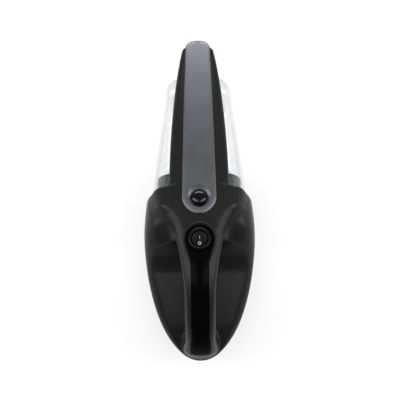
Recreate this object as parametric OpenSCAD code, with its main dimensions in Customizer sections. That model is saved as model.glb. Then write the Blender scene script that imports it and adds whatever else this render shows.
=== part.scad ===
// Cordless handheld vacuum: an egg-shaped body with a looped handle, a spine that reaches over a
// clear dust bowl, and a suction unit inside. +Y points to the nozzle, +X to the right, +Z up.

/* [Body] */
// Full width of the body
body_w = 117; // [114:1:119]
// Thickness of the moulded walls
wall = 2.2; // [2:0.1:2.4]
// Gap between the two housing halves
seam = 0.1; // [0.05:0.05:0.2]
// Tilt of the joint between body and bowl, and of the bowl's slide
slant = 18; // [17:0.5:19]

/* [Handle] */
// Half-width of the grip at its narrowest
grip_half_w = 15.8; // [15:0.1:17]
// Half-thickness of the grip
grip_half_t = 13; // [12.5:0.1:13.5]

/* [Spine and strip] */
// Half-width of the spine where it leaves the body
spine_half_w = 30.6; // [29:0.1:31]
// Half-width of the grey strip at the button
strip_half_w = 17.6; // [17:0.1:18]
// Thickness of the grey strip
strip_t = 2; // [1.8:0.1:2.2]

/* [Dust bowl] */
// Wall of the clear bowl
bowl_wall = 2; // [1.8:0.1:2.2]

/* [Controls] */
// Radius of the release button's cap
button_r = 7; // [6.5:0.1:7.2]
// Radius of the button's bezel ring
bezel_r = 9.8; // [9.5:0.1:10]
// Radius of the power switch's bezel
switch_r = 11.5; // [11:0.1:11.6]

/* [Suction unit] */
// Radius of the impeller
impeller_r = 26; // [24:0.5:26]
// Radius of the motor can
motor_r = 17.5; // [16:0.5:17.5]
// Radius of the motor shaft
shaft_r = 1.6; // [1.5:0.1:1.7]
// Number of impeller blades
blade_count = 9; // [7:1:11]

/* [Battery] */
// Radius of one battery cell
cell_r = 9.2; // [9:0.1:9.2]
// Length of one battery cell
cell_len = 65; // [64:0.5:65]

/* [Hidden] */

// Plan ellipse of the body
plan_y = -43;
plan_half_len = 127;
// Bottom of the body, and the stretch where it curves up to the tail
floor_z = 3;
tail_start = -100;
tail_rise = 37;
// Tops of the body in front of and under the handle
shoulder_z = 97;
saddle_z = 58;
// Joint plane: it crosses X = 0 here
joint_z = 50;
// Height of the spine's flat underside over the joint plane's own origin, square to the slide
spine_under = 38.5;
spine_end = 163;
strip_end = 170;
strip_inset = 0.15;
button_y = 2.5;
switch_y = -38.5;
// Place of the switch along the handle's path
switch_t = 2.9;
// Axis of the motor, fan and intake
fan_z = 36;
shroud_front = -25;
motor_front = -45.2;
motor_back = -84;
run_gap = 0.05;
around = 38;

function smooth(t) = let (u = min(1, max(0, t))) u * u * (3 - 2 * u);
function sgn_pow(v, p) = sign(v) * pow(abs(v), p);

// One point of a superellipse in a cross-section, at the angle a
function oval(half_w, up, down, n, a) =
  [half_w * sgn_pow(cos(a), 2 / n), (sin(a) > 0 ? up : down) * sgn_pow(sin(a), 2 / n)];

// Body outline
function body_half_w(y) = body_w / 2 * sqrt(max(0.0004, 1 - pow((y - plan_y) / plan_half_len, 2)));
function body_bottom(y) = floor_z + tail_rise * pow(max(0, (tail_start - y) / 70), 2);
function body_top(y) = saddle_z + (shoulder_z - saddle_z) * smooth((y + 78) / 60)
  - 8 * smooth((-130 - y) / 45);
function body_mid(y) = body_bottom(y)
  + (body_top(y) - body_bottom(y)) * (0.6 - 0.15 * smooth((y + 60) / 50));
function body_ring(y, inset) =
  [for (i = [0:around - 1])
    let (p = oval(max(1, body_half_w(y) - inset),
      max(1, body_top(y) - body_mid(y) - inset), max(1, body_mid(y) - body_bottom(y) - inset),
      2.4, i * 360 / around))
    [p.x, y, body_mid(y) + p.y]];

// Top line of the strip, spine and front of the handle
function top_line(y) = 98.5 - 0.2253 * y - 0.0007 * y * y;
function top_slope(y) = atan(-0.2253 - 0.0014 * y);

// Underside of the spine, which runs parallel to the bowl's slide
function under_line(y) = joint_z + spine_under / cos(slant) - y * tan(slant);

function spine_half(y) = spine_half_w * sqrt(1 - pow(0.869 * max(0, y - 20) / 150, 1.65));
strip_turn = 4.6;
strip_nose = 160;
function strip_half(y) = let (side = strip_half_w - 2.6 * (y - 10) / 95 - 1.9 * smooth((y - 100) / 50))
  y < strip_turn ? sqrt(max(0.1, pow(side, 2) - pow(strip_turn - y, 2)))
  : side * pow(max(0.001, 1 - pow(max(0, y - strip_nose) / (strip_end - strip_nose), 2.6)), 1 / 2.6);
function crown(y, x) = top_line(y) - 0.003 * x * x;

// Spine section: a flat underside and a domed top
function spine_ring(y, inset, top_inset) =
  let (half = spine_half(y) - inset, low = under_line(y) + inset,
    rise = top_line(y) - top_inset - low, steps = 19)
  [for (i = [0:steps]) let (p = oval(half, rise, rise, 2.6, i * 180 / steps)) [p.x, y, low + p.y]];

// Strip section, from low to high over the crown line
function strip_ring(y, grow, high, low) =
  let (half = strip_half(y) + grow, edge = min(1.6, half / 3), flat = half - edge, steps = 7,
    bevel = min(0.7, high - low - 0.4))
  concat(
    [[half, y, crown(y, half) + high - bevel]],
    [for (i = [0:steps]) let (x = flat * (1 - 2 * i / steps)) [x, y, crown(y, x) + high]],
    [[-half, y, crown(y, half) + high - bevel]],
    [for (i = [0:steps]) let (x = half * (2 * i / steps - 1)) [x, y, crown(y, x) + low]]);

// Centre line of the handle in side view, front to back, as [y, z]
grip_path = [[7, 79], [-10.8, 87.2], [-26, 91], [-44, 96], [-62, 100.3], [-81, 102.6],
  [-96, 102.3], [-108, 99.6], [-121, 93.8], [-133, 84.8], [-143, 74], [-150.5, 62],
  [-155, 50], [-157, 40]];
grip_last = len(grip_path) - 1;
function path_point(i) = i < 0 ? 2 * grip_path[0] - grip_path[1]
  : i > grip_last ? 2 * grip_path[grip_last] - grip_path[grip_last - 1] : grip_path[i];
// Smooth curve through the path's points, where t counts points
function grip_at(t) = let (i = min(grip_last - 1, floor(t)), u = t - i,
    a = path_point(i - 1), b = path_point(i), c = path_point(i + 1), d = path_point(i + 2))
  b + (c - a) * u / 2 + (2 * a - 5 * b + 4 * c - d) * u * u / 2
    + (3 * b - a - 3 * c + d) * u * u * u / 2;
function grip_dir(t) = let (d = grip_at(min(grip_last, t + 0.02)) - grip_at(max(0, t - 0.02))) d / norm(d);
function grip_half(y) = let (f = min(1, max(0, (y + 100) / 92)), r = max(0, (-140 - y) / 12))
  grip_half_w + 17 * pow(f, 1.7) + 7.5 * pow(f, 10) + min(2.4, 3 * r * r);
// A point out from the centre line: x across, out square to the path
function grip_point(t, x, out) = let (c = grip_at(t), d = grip_dir(t))
  [x, c[0] + out * d[1], c[1] - out * d[0]];
function grip_ring(t, inset) =
  [for (i = [0:around - 1])
    let (p = oval(grip_half(grip_at(t)[0]) - inset, grip_half_t - inset, grip_half_t - inset,
      2.5, i * 360 / around))
    grip_point(t, p.x, p.y)];

// Inlay on the handle: a round head about the switch, a narrow band, and a slight flare at the tail
inlay_stations = concat([2.04, 2.1, 2.22, 2.4, 2.65], [for (k = [6:21]) k / 2], [10.95]);
inlay_head = 15.2;
function inlay_half(y) = y > switch_y
  ? sqrt(max(1, inlay_head * inlay_head - pow(y - switch_y, 2)))
  : 9.2 + 6 * smooth((y - switch_y + 28) / 26) + 1.6 * smooth((-140 - y) / 14);
// Height of the handle's own surface over its centre line
function grip_skin(t, x) =
  grip_half_t * pow(1 - pow(abs(x) / grip_half(grip_at(t)[0]), 2.5), 1 / 2.5);
function inlay_ring(t, grow, high, low) =
  let (half = inlay_half(grip_at(t)[0] + grip_half_t * grip_dir(t)[1]) + grow, steps = 9)
  concat(
    [for (i = [0:steps]) let (x = half * (1 - 2 * i / steps)) grip_point(t, x, grip_skin(t, x) + high)],
    [for (i = [0:steps]) let (x = half * (2 * i / steps - 1)) grip_point(t, x, grip_skin(t, x) + low)]);

// Dust bowl outline
function bowl_half(y) = y < 108 ? 49.8 - 0.141 * y
  : y < 130 ? 15 + 19.5 * pow(max(0, 1 - pow((y - 108) / 22, 2.6)), 1 / 2.6) : 15 - (y - 130) / 32;
function bowl_bottom(y) = 6 + 0.025 * y;
bowl_gap = 0.4;
function bowl_ring(y, inset) =
  let (low = bowl_bottom(y) + inset, lid = under_line(y) - bowl_gap, full = lid + 4 - inset,
    mid = (low + full) / 2, n = 2.4 + 1.8 * smooth((y - 90) / 40))
  [for (i = [0:around - 1])
    let (p = oval(bowl_half(y) - inset, full - mid, mid - low, n, i * 360 / around))
    [p.x, y, min(mid + p.y, lid - inset)]];

// Closed solid through rings that all have the same number of points. back says that the rings run
// towards -Y.
module loft(rings, back) {
  n = len(rings[0]);
  m = len(rings);
  function face(list) = back ? list : [for (i = [len(list) - 1:-1:0]) list[i]];
  polyhedron(
    points = [for (r = rings) each r],
    faces = concat(
      [face([for (i = [0:n - 1]) i]), face([for (i = [n - 1:-1:0]) (m - 1) * n + i])],
      [for (j = [0:m - 2], i = [0:n - 1])
        let (a = j * n + i, b = j * n + (i + 1) % n)
        each [face([a, a + n, b]), face([b, a + n, b + n])]]));
}

// Keeps a shell as one mesh, for walls that nothing round depends on
module moulded() resize([0, 0, 0]) children();

// Places children in the joint plane's own frame: +Y along the slide, +Z up the plane
module in_joint() translate([0, 0, joint_z]) rotate([-slant, 0, 0]) children();

// Places children on the top line, +Z square to it
module on_top(y, z) translate([0, y, z]) rotate([top_slope(y), 0, 0]) children();

// Half-space behind the joint plane, moved along the slide by shift
module behind_joint(shift) in_joint() translate([-150, -300 + shift, -150]) cube([300, 300, 300]);

module body_solid(inset) {
  loft([for (y = [for (k = [0:16]) 30 - 12 * k, -168 + inset / 2, -170 + inset * 1.2])
    body_ring(y, inset)], true);
}

module grip_solid(inset) loft([for (k = [0:2 * grip_last]) grip_ring(k / 2, inset)], true);

module spine_solid(inset, top_inset, from, to) {
  count = 14;
  loft([for (k = [0:count]) spine_ring(from + (to - from) * k / count, inset, top_inset)], false);
}

strip_stations = concat(
  [for (a = [2:14:86]) strip_turn - (strip_half_w + 0.1) * cos(a)],
  [for (k = [0:10]) strip_turn + 1 + (strip_nose - strip_turn - 1) * k / 10],
  [for (a = [20:16:84]) strip_nose + (strip_end - strip_nose) * sin(a)], [strip_end - 0.02]);
module strip_solid(grow, high, low) loft([for (y = strip_stations) strip_ring(y, grow, high, low)], false);

module inlay_solid(grow, high, low) loft([for (t = inlay_stations) inlay_ring(t, grow, high, low)], true);

module bowl_solid(inset) {
  stops = concat([-22, -8, 6], [for (y = [24:21:108]) y], [113, 118, 122, 125.5, 128, 129.6, 131],
    [138, 146, 154, 166]);
  loft([for (y = stops) bowl_ring(y, inset)], false);
}

// Outlines in the joint plane, as points across and up the plane
frame_mid = -2.4;
frame_half_h = 32.5;
frame_half_w = 43.3;
frame_depth = 22;
function plane_oval(half_w, half_h, mid, n) =
  [for (i = [0:71]) let (p = oval(half_w, half_h, half_h, n, i * 5)) [p.x, mid + p.y]];
module plane_plate(v, t) in_joint() translate([0, v + t, 0]) rotate([90, 0, 0])
  linear_extrude(t) children();
module mouth_outline(grow) polygon(plane_oval(49 + grow, 36.5 + grow, -4, 2.4));
module ring_outline(shrink) polygon(plane_oval(frame_half_w - shrink, frame_half_h - shrink,
  frame_mid, 2.4));
module cup_outline(shrink) polygon(plane_oval(31.6 - shrink, 28 - shrink, -2.5, 2.3));

// Bulkhead outline, which follows the inside of the body
module bulkhead_outline() {
  mid = -4.9;
  tilt = sin(slant);
  difference() {
    polygon([for (i = [0:71])
      let (p = oval(1, 52, 42, 2.4, i * 5), side = body_half_w(tilt * (mid + p.y)) - wall - 0.5)
      [p.x * side, mid + p.y]]);
    translate([-60, 31.5]) square([120, 40]);
    translate([-7, 26]) square([14, 10]);
  }
}

// Positions of the screws that join the halves, as [y, z]
screw_spots = [[-72, 98.5], [-118, 93], [-76, 10.5], [-152, 62]];
screw_head = 9;
screw_r = 1.5;
screw_head_r = 2.7;
screw_len = 21;
boss_r = 3.9;
// Feet, as [x, y]
foot_spots = [[26, -14], [-26, -14], [22, -100], [-22, -100]];
foot_r = 6;
foot_h = 6.4;
// Catch tab on the bowl, in the joint plane's frame
tab_half_w = 10;
tab_low = 36;
tab_t = 2;
tab_back = -9;
tab_len = 16;
// Charging jack: its axis, face, size and socket
jack_z = 44;
jack_face = -168.4;
jack_r = 5;
jack_len = 14;
jack_socket_r = 2.8;
// Air outlets on each side
vent_count = 6;
vent_pitch = 7;
vent_w = 3;
vent_h = 15;
vent_front = -47;
vent_low = 16;
// Latch pivot
pivot_y = -16;
pivot_z = 84.5;
pivot_r = 1.5;

module across(x, y, z, r, len) translate([x, y, z]) rotate([0, 90, 0]) cylinder(r = r, h = len, $fn = 32);
module fan_axis(y) translate([0, y, fan_z]) rotate([90, 0, 0]) children();
module switch_axis() {
  lean = atan2(grip_dir(switch_t)[1], -grip_dir(switch_t)[0]);
  translate([0, grip_at(switch_t)[0], grip_at(switch_t)[1]])
    rotate([-lean, 0, 0]) translate([0, 0, grip_half_t]) children();
}

module housing_outer() {
  intersection() {
    body_solid(0);
    behind_joint(0);
  }
  grip_solid(0);
  spine_solid(0, 0, 0, spine_end);
}

module housing_inner() {
  intersection() {
    body_solid(wall);
    behind_joint(-2);
  }
  grip_solid(wall + 0.6);
  intersection() {
    spine_solid(wall, strip_t + wall, -8, 118);
    translate([-40, -8, 0]) cube([80, 126, 120]);
  }
}

// Bosses for the screws and ears for the latch pin
module housing_bosses() {
  for (s = screw_spots) across(-60, s[0], s[1], boss_r, 120);
  for (side = [-1, 1]) translate([side * 9 - 3, pivot_y - 4, pivot_z - 4]) cube([6, 8, 22]);
}

module housing_cuts() {
  strip_solid(strip_inset, 6, -1.5);
  inlay_solid(0.15, 4, -1.6);
  on_top(button_y, top_line(button_y)) translate([0, 0, -14]) cylinder(r = bezel_r + 0.15, h = 20, $fn = 40);
  switch_axis() translate([0, 0, -20]) cylinder(r = switch_r - 1.3, h = 30, $fn = 40);
  plane_plate(-3, 4) mouth_outline(0.3);
  plane_plate(-3, 4) translate([-12, 25]) square([24, 13.4]);
  across(-15, pivot_y, pivot_z, pivot_r + 0.1, 30);
  for (s = screw_spots) {
    across(screw_head, s[0], s[1], screw_head_r + 0.3, 70);
    across(-18, s[0], s[1], screw_r + 0.1, 40);
  }
  for (f = foot_spots) translate([f[0], f[1], -1]) cylinder(r = foot_r + 0.1, h = foot_h + 1.1, $fn = 32);
  translate([0, -140, jack_z]) rotate([90, 0, 0]) cylinder(r = jack_r + 0.15, h = 40, $fn = 32);
  for (side = [-1, 1], k = [0:vent_count - 1])
    translate([side * 50 - 20, vent_front - vent_w - vent_pitch * k, vent_low]) cube([40, vent_w, vent_h]);
}

module housing_half(side) color([0.05, 0.05, 0.05]) moulded() difference() {
  union() {
    difference() {
      housing_outer();
      housing_inner();
    }
    intersection() {
      housing_bosses();
      housing_outer();
    }
  }
  housing_cuts();
  translate([side > 0 ? -200 + seam / 2 : -seam / 2, -200, -10]) cube([200, 400, 200]);
}

module housing_left() housing_half(-1);
module housing_right() housing_half(1);

module top_strip() color([0.5, 0.52, 0.55]) difference() {
  strip_solid(0, 0.6, 0.6 - strip_t);
  on_top(button_y, top_line(button_y)) translate([0, 0, -14]) cylinder(r = bezel_r + 0.1, h = 20, $fn = 64);
}

module handle_inlay() color([0.03, 0.03, 0.03]) difference() {
  inlay_solid(0, 0.4, -1.4);
  switch_axis() translate([0, 0, -10]) cylinder(r = switch_r + 0.1, h = 20, $fn = 64);
}

stem_r = 2;
// Guide cup of the button, whose rim is the bezel ring
module button_bezel() color([0.04, 0.04, 0.04]) on_top(button_y, top_line(button_y))
  rotate_extrude($fn = 64) polygon([[stem_r + 0.2, -8], [bezel_r, -8], [bezel_r, 0.8],
    [bezel_r - 0.8, 1.5], [button_r + 0.8, 1.5], [button_r + 0.1, 0.8], [button_r + 0.1, -7],
    [stem_r + 0.2, -7]]);

module release_button() color([0.06, 0.06, 0.06]) on_top(button_y, top_line(button_y))
  rotate_extrude($fn = 64) polygon(concat([[0, -11.2], [stem_r, -11.2], [stem_r, -3.2], [button_r, -3.2]],
    [for (a = [0:15:90]) [button_r - 1.4 + 1.4 * cos(a), 0.8 + 1.2 * sin(a)]], [[0, 2.2]]));

// Two coils between the cap and the cup's floor
module button_spring() color([0.7, 0.7, 0.72]) on_top(button_y, top_line(button_y))
  for (k = [0:2]) translate([0, 0, -6.6 + 1.4 * k])
    rotate_extrude($fn = 48) translate([4.6, 0]) circle(r = 0.35, $fn = 16);

module latch_lever() color([0.75, 0.72, 0.6]) difference() {
  translate([-4, 0, 0]) rotate([90, 0, 90]) linear_extrude(8)
    polygon([[-19, 82], [-19, 87], [-13, 87], [-9, 85.2], [-4, 86.3], [1.6, 86.3], [3, 83.8],
      [4.8, 83.8], [5.2, 85.5], [7, 85], [7.4, 82], [6.6, 81.6], [-12, 81.6]]);
  across(-5, pivot_y, pivot_z, pivot_r + run_gap, 10);
}

module latch_pin() color([0.7, 0.7, 0.72]) across(-11.8, pivot_y, pivot_z, pivot_r, 23.6);

switch_depth = 14;
rocker_r = 8.2;
// Rocker, which tips about a pin across the switch
rocker_axis = -2.5;
rocker_tip = 7;
rocker_pin_r = 1.2;
module switch_body() color([0.04, 0.04, 0.04]) switch_axis() difference() {
  union() {
    rotate_extrude($fn = 64) polygon([[0, -switch_depth], [switch_r - 1.5, -switch_depth],
      [switch_r - 1.5, 0.45], [switch_r, 0.45], [switch_r, 1.2], [switch_r - 1, 2.1],
      [switch_r - 2.2, 2.1], [0, 2.1]]);
    for (x = [-3, 3]) translate([x - 0.4, -2.4, -switch_depth - 5]) cube([0.8, 4.8, 6]);
  }
  translate([0, 0, -7]) cylinder(r = rocker_r + 0.2, h = 20, $fn = 64);
  across(-9.6, 0, rocker_axis, rocker_pin_r + run_gap, 19.2);
}

module switch_rocker() color([0.05, 0.05, 0.05]) switch_axis() translate([0, 0, rocker_axis])
  rotate([rocker_tip, 0, 0]) {
    difference() {
      intersection() {
        translate([0, 0, -2.6]) cylinder(r = rocker_r - 0.6, h = 8.2, $fn = 64);
        translate([-15, 0, 30]) rotate([0, 90, 0]) cylinder(r = 34, h = 30, $fn = 96);
      }
      translate([-15, 0, 42]) rotate([0, 90, 0]) cylinder(r = 37, h = 30, $fn = 96);
    }
    across(-9.4, 0, 0, rocker_pin_r, 18.8);
  }

module dust_bowl() color([0.85, 0.88, 0.92, 0.45]) moulded() difference() {
  union() {
    difference() {
      bowl_solid(0);
      bowl_solid(bowl_wall);
      behind_joint(1.5);
    }
    // Catch tab on top of the rim, with a window for the latch
    in_joint() difference() {
      translate([-tab_half_w, tab_back, tab_low]) cube([2 * tab_half_w, tab_len, tab_t]);
      translate([-tab_half_w / 2, tab_back + 1, tab_low - 1]) cube([tab_half_w, 5, tab_t + 2]);
    }
  }
  // Slanted nozzle mouth
  translate([-30, 162, 38]) rotate([-19, 0, 0]) translate([0, 0, -60]) cube([60, 40, 90]);
}

// Seal between the rims, thinner where it passes under the catch tab
module bowl_gasket() color([0.15, 0.15, 0.15]) moulded() difference() {
  intersection() {
    bowl_solid(0.3);
    plane_plate(0.2, 1.2) translate([-70, -70]) square([140, 140]);
  }
  bowl_solid(bowl_wall + 1.2);
  in_joint() translate([-tab_half_w - 0.2, tab_back, tab_low - 0.1])
    cube([2 * tab_half_w + 0.4, tab_len, tab_t + 2]);
}

// Sleeve frame: its origin is the sleeve's outer end, +Y out of the nozzle
sleeve_tilt = 8;
sleeve_len = 20;
sleeve_r = 12.2;
socket_r = 10.6;
flap_pin_r = 1;
flap_y = -21.8;
flap_z = 13.4;
module in_nozzle() translate([0, 150, 25.4]) rotate([-sleeve_tilt, 0, 0]) children();

module accessory_sleeve() color([0.1, 0.1, 0.1]) in_nozzle() difference() {
  union() {
    rotate([90, 0, 0]) cylinder(r = sleeve_r, h = sleeve_len, $fn = 64);
    for (side = [-1, 1]) translate([side * 9.8 - 1.3, 0, 0]) {
      translate([0, -sleeve_len, 7]) cube([2.6, 6, 8.4]);
      translate([0, -24, 10.9]) cube([2.6, 5, 4.5]);
    }
  }
  translate([0, 1, 0]) rotate([90, 0, 0]) cylinder(r = socket_r, h = sleeve_len + 2, $fn = 64);
  across(-15, flap_y, flap_z, flap_pin_r, 30);
}

module flap_valve() color([0.12, 0.12, 0.12]) in_nozzle() difference() {
  union() {
    translate([0, -20.2, 0]) rotate([90, 0, 0]) cylinder(r = 11.6, h = 1.1, $fn = 64);
    translate([-5, -21.3, 8]) cube([10, 1.1, 5]);
    across(-5, flap_y, flap_z, 1.9, 10);
  }
  across(-8, flap_y, flap_z, flap_pin_r + run_gap, 16);
}

module flap_pin() color([0.7, 0.7, 0.72]) in_nozzle() across(-11, flap_y, flap_z, flap_pin_r, 22);

module filter_frame() color([0.22, 0.22, 0.23]) {
  difference() {
    union() {
      plane_plate(-2, 1.9) mouth_outline(0);
      plane_plate(-1, frame_depth + 1) ring_outline(0);
    }
    plane_plate(-3, 30) cup_outline(-0.3);
    plane_plate(0, 30) ring_outline(2.4);
  }
}

module filter_cup() color([0.75, 0.75, 0.73]) difference() {
  union() {
    plane_plate(-1.9, 33.9) cup_outline(0);
    plane_plate(32, 2.5) cup_outline(3);
  }
  plane_plate(-3, 34) cup_outline(1.6);
}

intake_r = 14;
module motor_bulkhead() color([0.12, 0.12, 0.13]) {
  difference() {
    union() {
      plane_plate(-5.1, 3) bulkhead_outline();
      intersection() {
        fan_axis(8) cylinder(r = intake_r + 2, h = 32.8, $fn = 64);
        behind_joint(-2.1);
      }
    }
    fan_axis(12) cylinder(r = intake_r, h = 50, $fn = 64);
    for (f = [-1, 1]) translate([f * 26, -14, -1]) cylinder(r = foot_r + 1.2, h = foot_h + 2, $fn = 32);
  }
  intersection() {
    fan_axis(8) cylinder(r = intake_r + 0.4, h = 40, $fn = 64);
    for (k = [-1:1]) plane_plate(-4.6, 2) translate([-16, -15.4 + 7 * k]) square([32, 1.4]);
  }
}

module fan_shroud() color([0.16, 0.16, 0.17]) difference() {
  fan_axis(shroud_front) cylinder(r = impeller_r + 3.5, h = 20, $fn = 96);
  fan_axis(shroud_front - 1.8) cylinder(r = impeller_r + 1.7, h = 16.4, $fn = 96);
  fan_axis(shroud_front + 1) cylinder(r = 12, h = 10, $fn = 64);
  fan_axis(shroud_front - 10) cylinder(r = 6, h = 12, $fn = 64);
  for (k = [0:7]) fan_axis(shroud_front - 10) rotate(45 * k) translate([18, 0, 0])
    cylinder(r = 3.6, h = 12, $fn = 32);
}

module impeller() color([0.85, 0.85, 0.83]) difference() {
  union() {
    fan_axis(-39.5) cylinder(r = impeller_r, h = 1.5, $fn = 96);
    fan_axis(-30) cylinder(r = 5, h = 11, $fn = 48);
    for (k = [0:blade_count - 1]) fan_axis(-30.5) rotate(k * 360 / blade_count)
      translate([4, -0.6, 0]) rotate(-24) cube([impeller_r - 6.5, 1.1, 9.5]);
  }
  fan_axis(-20) cylinder(r = shaft_r, h = 40, $fn = 48);
}

module motor_shaft() color([0.7, 0.7, 0.72]) fan_axis(-28.4) cylinder(r = shaft_r, h = 54, $fn = 48);

module motor() color([0.6, 0.61, 0.63]) difference() {
  union() {
    fan_axis(motor_front) rotate_extrude($fn = 96) polygon([[0, 0], [motor_r - 2, 0], [motor_r, 2],
      [motor_r, 34], [motor_r - 1, 34.6], [motor_r - 1, 38.8], [0, 38.8]]);
    fan_axis(motor_front + 1.6) cylinder(r = 5.8, h = 3, $fn = 64);
    for (x = [-9, 9]) translate([x - 2.4, motor_back - 5, fan_z - 0.4]) cube([4.8, 6, 0.8]);
  }
  fan_axis(0) cylinder(r = shaft_r + run_gap, h = 120, $fn = 48);
  for (a = [0, 180]) fan_axis(motor_front - 24) rotate(a) translate([0, motor_r - 1, 0])
    cylinder(r = 3, h = 7, $fn = 32);
}

ring_front = -56;
module motor_ring() color([0.08, 0.08, 0.08]) difference() {
  fan_axis(ring_front) cylinder(r = motor_r + 2, h = 6, $fn = 96);
  fan_axis(ring_front + 1) cylinder(r = motor_r, h = 8, $fn = 96);
}

module motor_cradle() color([0.12, 0.12, 0.13]) difference() {
  translate([-25, ring_front - 6, 9.6]) cube([50, 6, fan_z - 9.6]);
  fan_axis(ring_front + 1) cylinder(r = motor_r + 2.02, h = 8, $fn = 96);
  translate([-15, ring_front - 7, 5]) cube([30, 8, 9.8]);
}

cell_front = -87;
cell_z = 39.8;
module battery_cells() color([0.2, 0.45, 0.7]) for (side = [-1, 1])
  translate([side * (cell_r + 0.5), cell_front, cell_z]) rotate([90, 0, 0]) {
    cylinder(r = cell_r, h = cell_len - 0.8, $fn = 64);
    translate([0, 0, -0.8]) cylinder(r = 3, h = 1.2, $fn = 32);
  }

module battery_tray() color([0.12, 0.12, 0.13]) difference() {
  translate([-19.6, cell_front - cell_len + 3, 29.6]) cube([39.2, cell_len - 4, 7]);
  for (side = [-1, 1]) translate([side * (cell_r + 0.5), cell_front + 5, cell_z])
    rotate([90, 0, 0]) cylinder(r = cell_r + 0.15, h = cell_len + 10, $fn = 64);
}

module control_board() color([0.1, 0.35, 0.2]) {
  translate([-14, -128, 51]) cube([28, 34, 1.5]);
  translate([-8, -104, 52.5]) cube([7, 7, 1.1]);
  translate([3, -118, 52.5]) cube([5, 9, 1.4]);
}

// Round low-voltage jack with its centre pin
module charge_jack() color([0.1, 0.1, 0.1]) translate([0, jack_face, jack_z]) rotate([-90, 0, 0]) {
  difference() {
    cylinder(r = jack_r, h = jack_len, $fn = 64);
    translate([0, 0, -1]) cylinder(r = jack_socket_r, h = 11, $fn = 48);
  }
  translate([0, 0, 1.2]) cylinder(r = 1, h = 9, $fn = 32);
}

// Pan-head screws from the right half into the left
module housing_screws() color([0.6, 0.6, 0.62]) for (s = screw_spots) difference() {
  union() {
    across(screw_head - screw_len, s[0], s[1], screw_r, screw_len + 0.1);
    across(screw_head + 0.1, s[0], s[1], screw_head_r, 2);
  }
  translate([screw_head + 1.2, s[0] - 1.8, s[1] - 0.3]) cube([2, 3.6, 0.6]);
  translate([screw_head + 1.2, s[0] - 0.3, s[1] - 1.8]) cube([2, 0.6, 3.6]);
}

module feet() color([0.1, 0.1, 0.1]) for (f = foot_spots) translate([f[0], f[1], 0])
  rotate_extrude($fn = 48) polygon([[0, 0], [foot_r - 0.8, 0], [foot_r, 0.8], [foot_r, foot_h - 0.1],
    [0, foot_h - 0.1]]);

housing_left();
housing_right();
top_strip();
handle_inlay();
button_bezel();
release_button();
button_spring();
latch_lever();
latch_pin();
switch_body();
switch_rocker();
dust_bowl();
bowl_gasket();
accessory_sleeve();
flap_valve();
flap_pin();
filter_frame();
filter_cup();
motor_bulkhead();
fan_shroud();
impeller();
motor_shaft();
motor();
motor_ring();
motor_cradle();
battery_cells();
battery_tray();
control_board();
charge_jack();
housing_screws();
feet();
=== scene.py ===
import math

import bmesh
import bpy
import numpy as np
from mathutils import Matrix, Vector


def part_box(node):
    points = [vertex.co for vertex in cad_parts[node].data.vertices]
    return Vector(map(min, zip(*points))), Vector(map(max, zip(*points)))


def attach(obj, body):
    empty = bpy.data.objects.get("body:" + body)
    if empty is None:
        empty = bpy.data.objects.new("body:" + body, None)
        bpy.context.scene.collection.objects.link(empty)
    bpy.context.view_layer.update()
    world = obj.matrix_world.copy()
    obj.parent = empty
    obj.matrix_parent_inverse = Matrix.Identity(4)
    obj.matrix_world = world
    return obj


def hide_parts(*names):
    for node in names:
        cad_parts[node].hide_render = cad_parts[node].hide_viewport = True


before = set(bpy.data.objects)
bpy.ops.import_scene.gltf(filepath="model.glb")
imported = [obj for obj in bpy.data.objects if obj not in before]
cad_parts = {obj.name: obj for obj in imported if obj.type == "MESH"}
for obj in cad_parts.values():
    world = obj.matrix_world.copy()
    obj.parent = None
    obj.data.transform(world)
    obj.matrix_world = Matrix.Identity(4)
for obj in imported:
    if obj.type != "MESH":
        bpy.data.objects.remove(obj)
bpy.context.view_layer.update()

# Handheld vacuum. Shapes are worked out in millimetres and made in metres.
MM = 0.001


def box_mm(node):
    """The lowest and highest corners of a CAD node, in millimetres."""
    low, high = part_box(node)
    return [v / MM for v in low], [v / MM for v in high]


# ---------------------------------------------------------------- driving sizes

HOUSING_LOW, HOUSING_HIGH = box_mm("housing_right")
STRIP_LOW, STRIP_HIGH = box_mm("top_strip")
BODY_HALF_W = HOUSING_HIGH[0]
TAIL_Y = HOUSING_LOW[1]
BODY_FLOOR = HOUSING_LOW[2]
SPINE_END = HOUSING_HIGH[1]
STRIP_END = STRIP_HIGH[1]
WALL = 2.2
SLANT = math.radians(18)
PLAN_Y = -43.0
PLAN_HALF_LEN = PLAN_Y - TAIL_Y
TAIL_START = -100.0
TAIL_RISE = 37.0
SHOULDER_Z = 97.0
SADDLE_Z = 58.0
JOINT_Z = 50.0
SPINE_UNDER = 38.5
SPINE_HALF_W = 30.6
STRIP_HALF_W = 17.6
STRIP_TURN = 4.6
STRIP_NOSE = 160.0
STRIP_ROUND = 2.6
GRIP_HALF_W = 15.8
GRIP_HALF_T = 13.0
GRIP_PATH = np.array([[7, 79], [-10.8, 87.2], [-26, 91], [-44, 96], [-62, 100.3], [-81, 102.6],
                      [-96, 102.3], [-108, 99.6], [-121, 93.8], [-133, 84.8], [-143, 74],
                      [-150.5, 62], [-155, 50], [-157, 40]], float)
BUTTON_Y = 2.5
BEZEL_R = 9.8
SWITCH_T = 2.9
SWITCH_Y = -38.5
SWITCH_R = 11.5
ROCKER_R = 8.2
INLAY_HEAD = 15.2
INLAY_HALF_W = 9.2
TOP_Z = 98.5
TOP_TILT = 0.2253
TOP_SAG = 0.0007
CROWN_FALL = 0.003
RAMP_START = -79.0
RAMP_LENGTH = 62.0
BOWL_HALF_W = 49.8
BOWL_TAPER = 0.141
BOWL_LOW = 6.0
BOWL_CLIMB = 0.025
NOZZLE_NECK = 108.0
NOZZLE_START = 130.0
NOZZLE_HALF_W = 15.0
NOZZLE_TIP = (162.0, 38.0)
NOZZLE_CUT = math.radians(19)
BOWL_WALL = 2.0
BOWL_GAP = 0.4
MOUTH_HALF = (49.0, 36.5)
MOUTH_MID = -4.0
VENTS = 6
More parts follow.
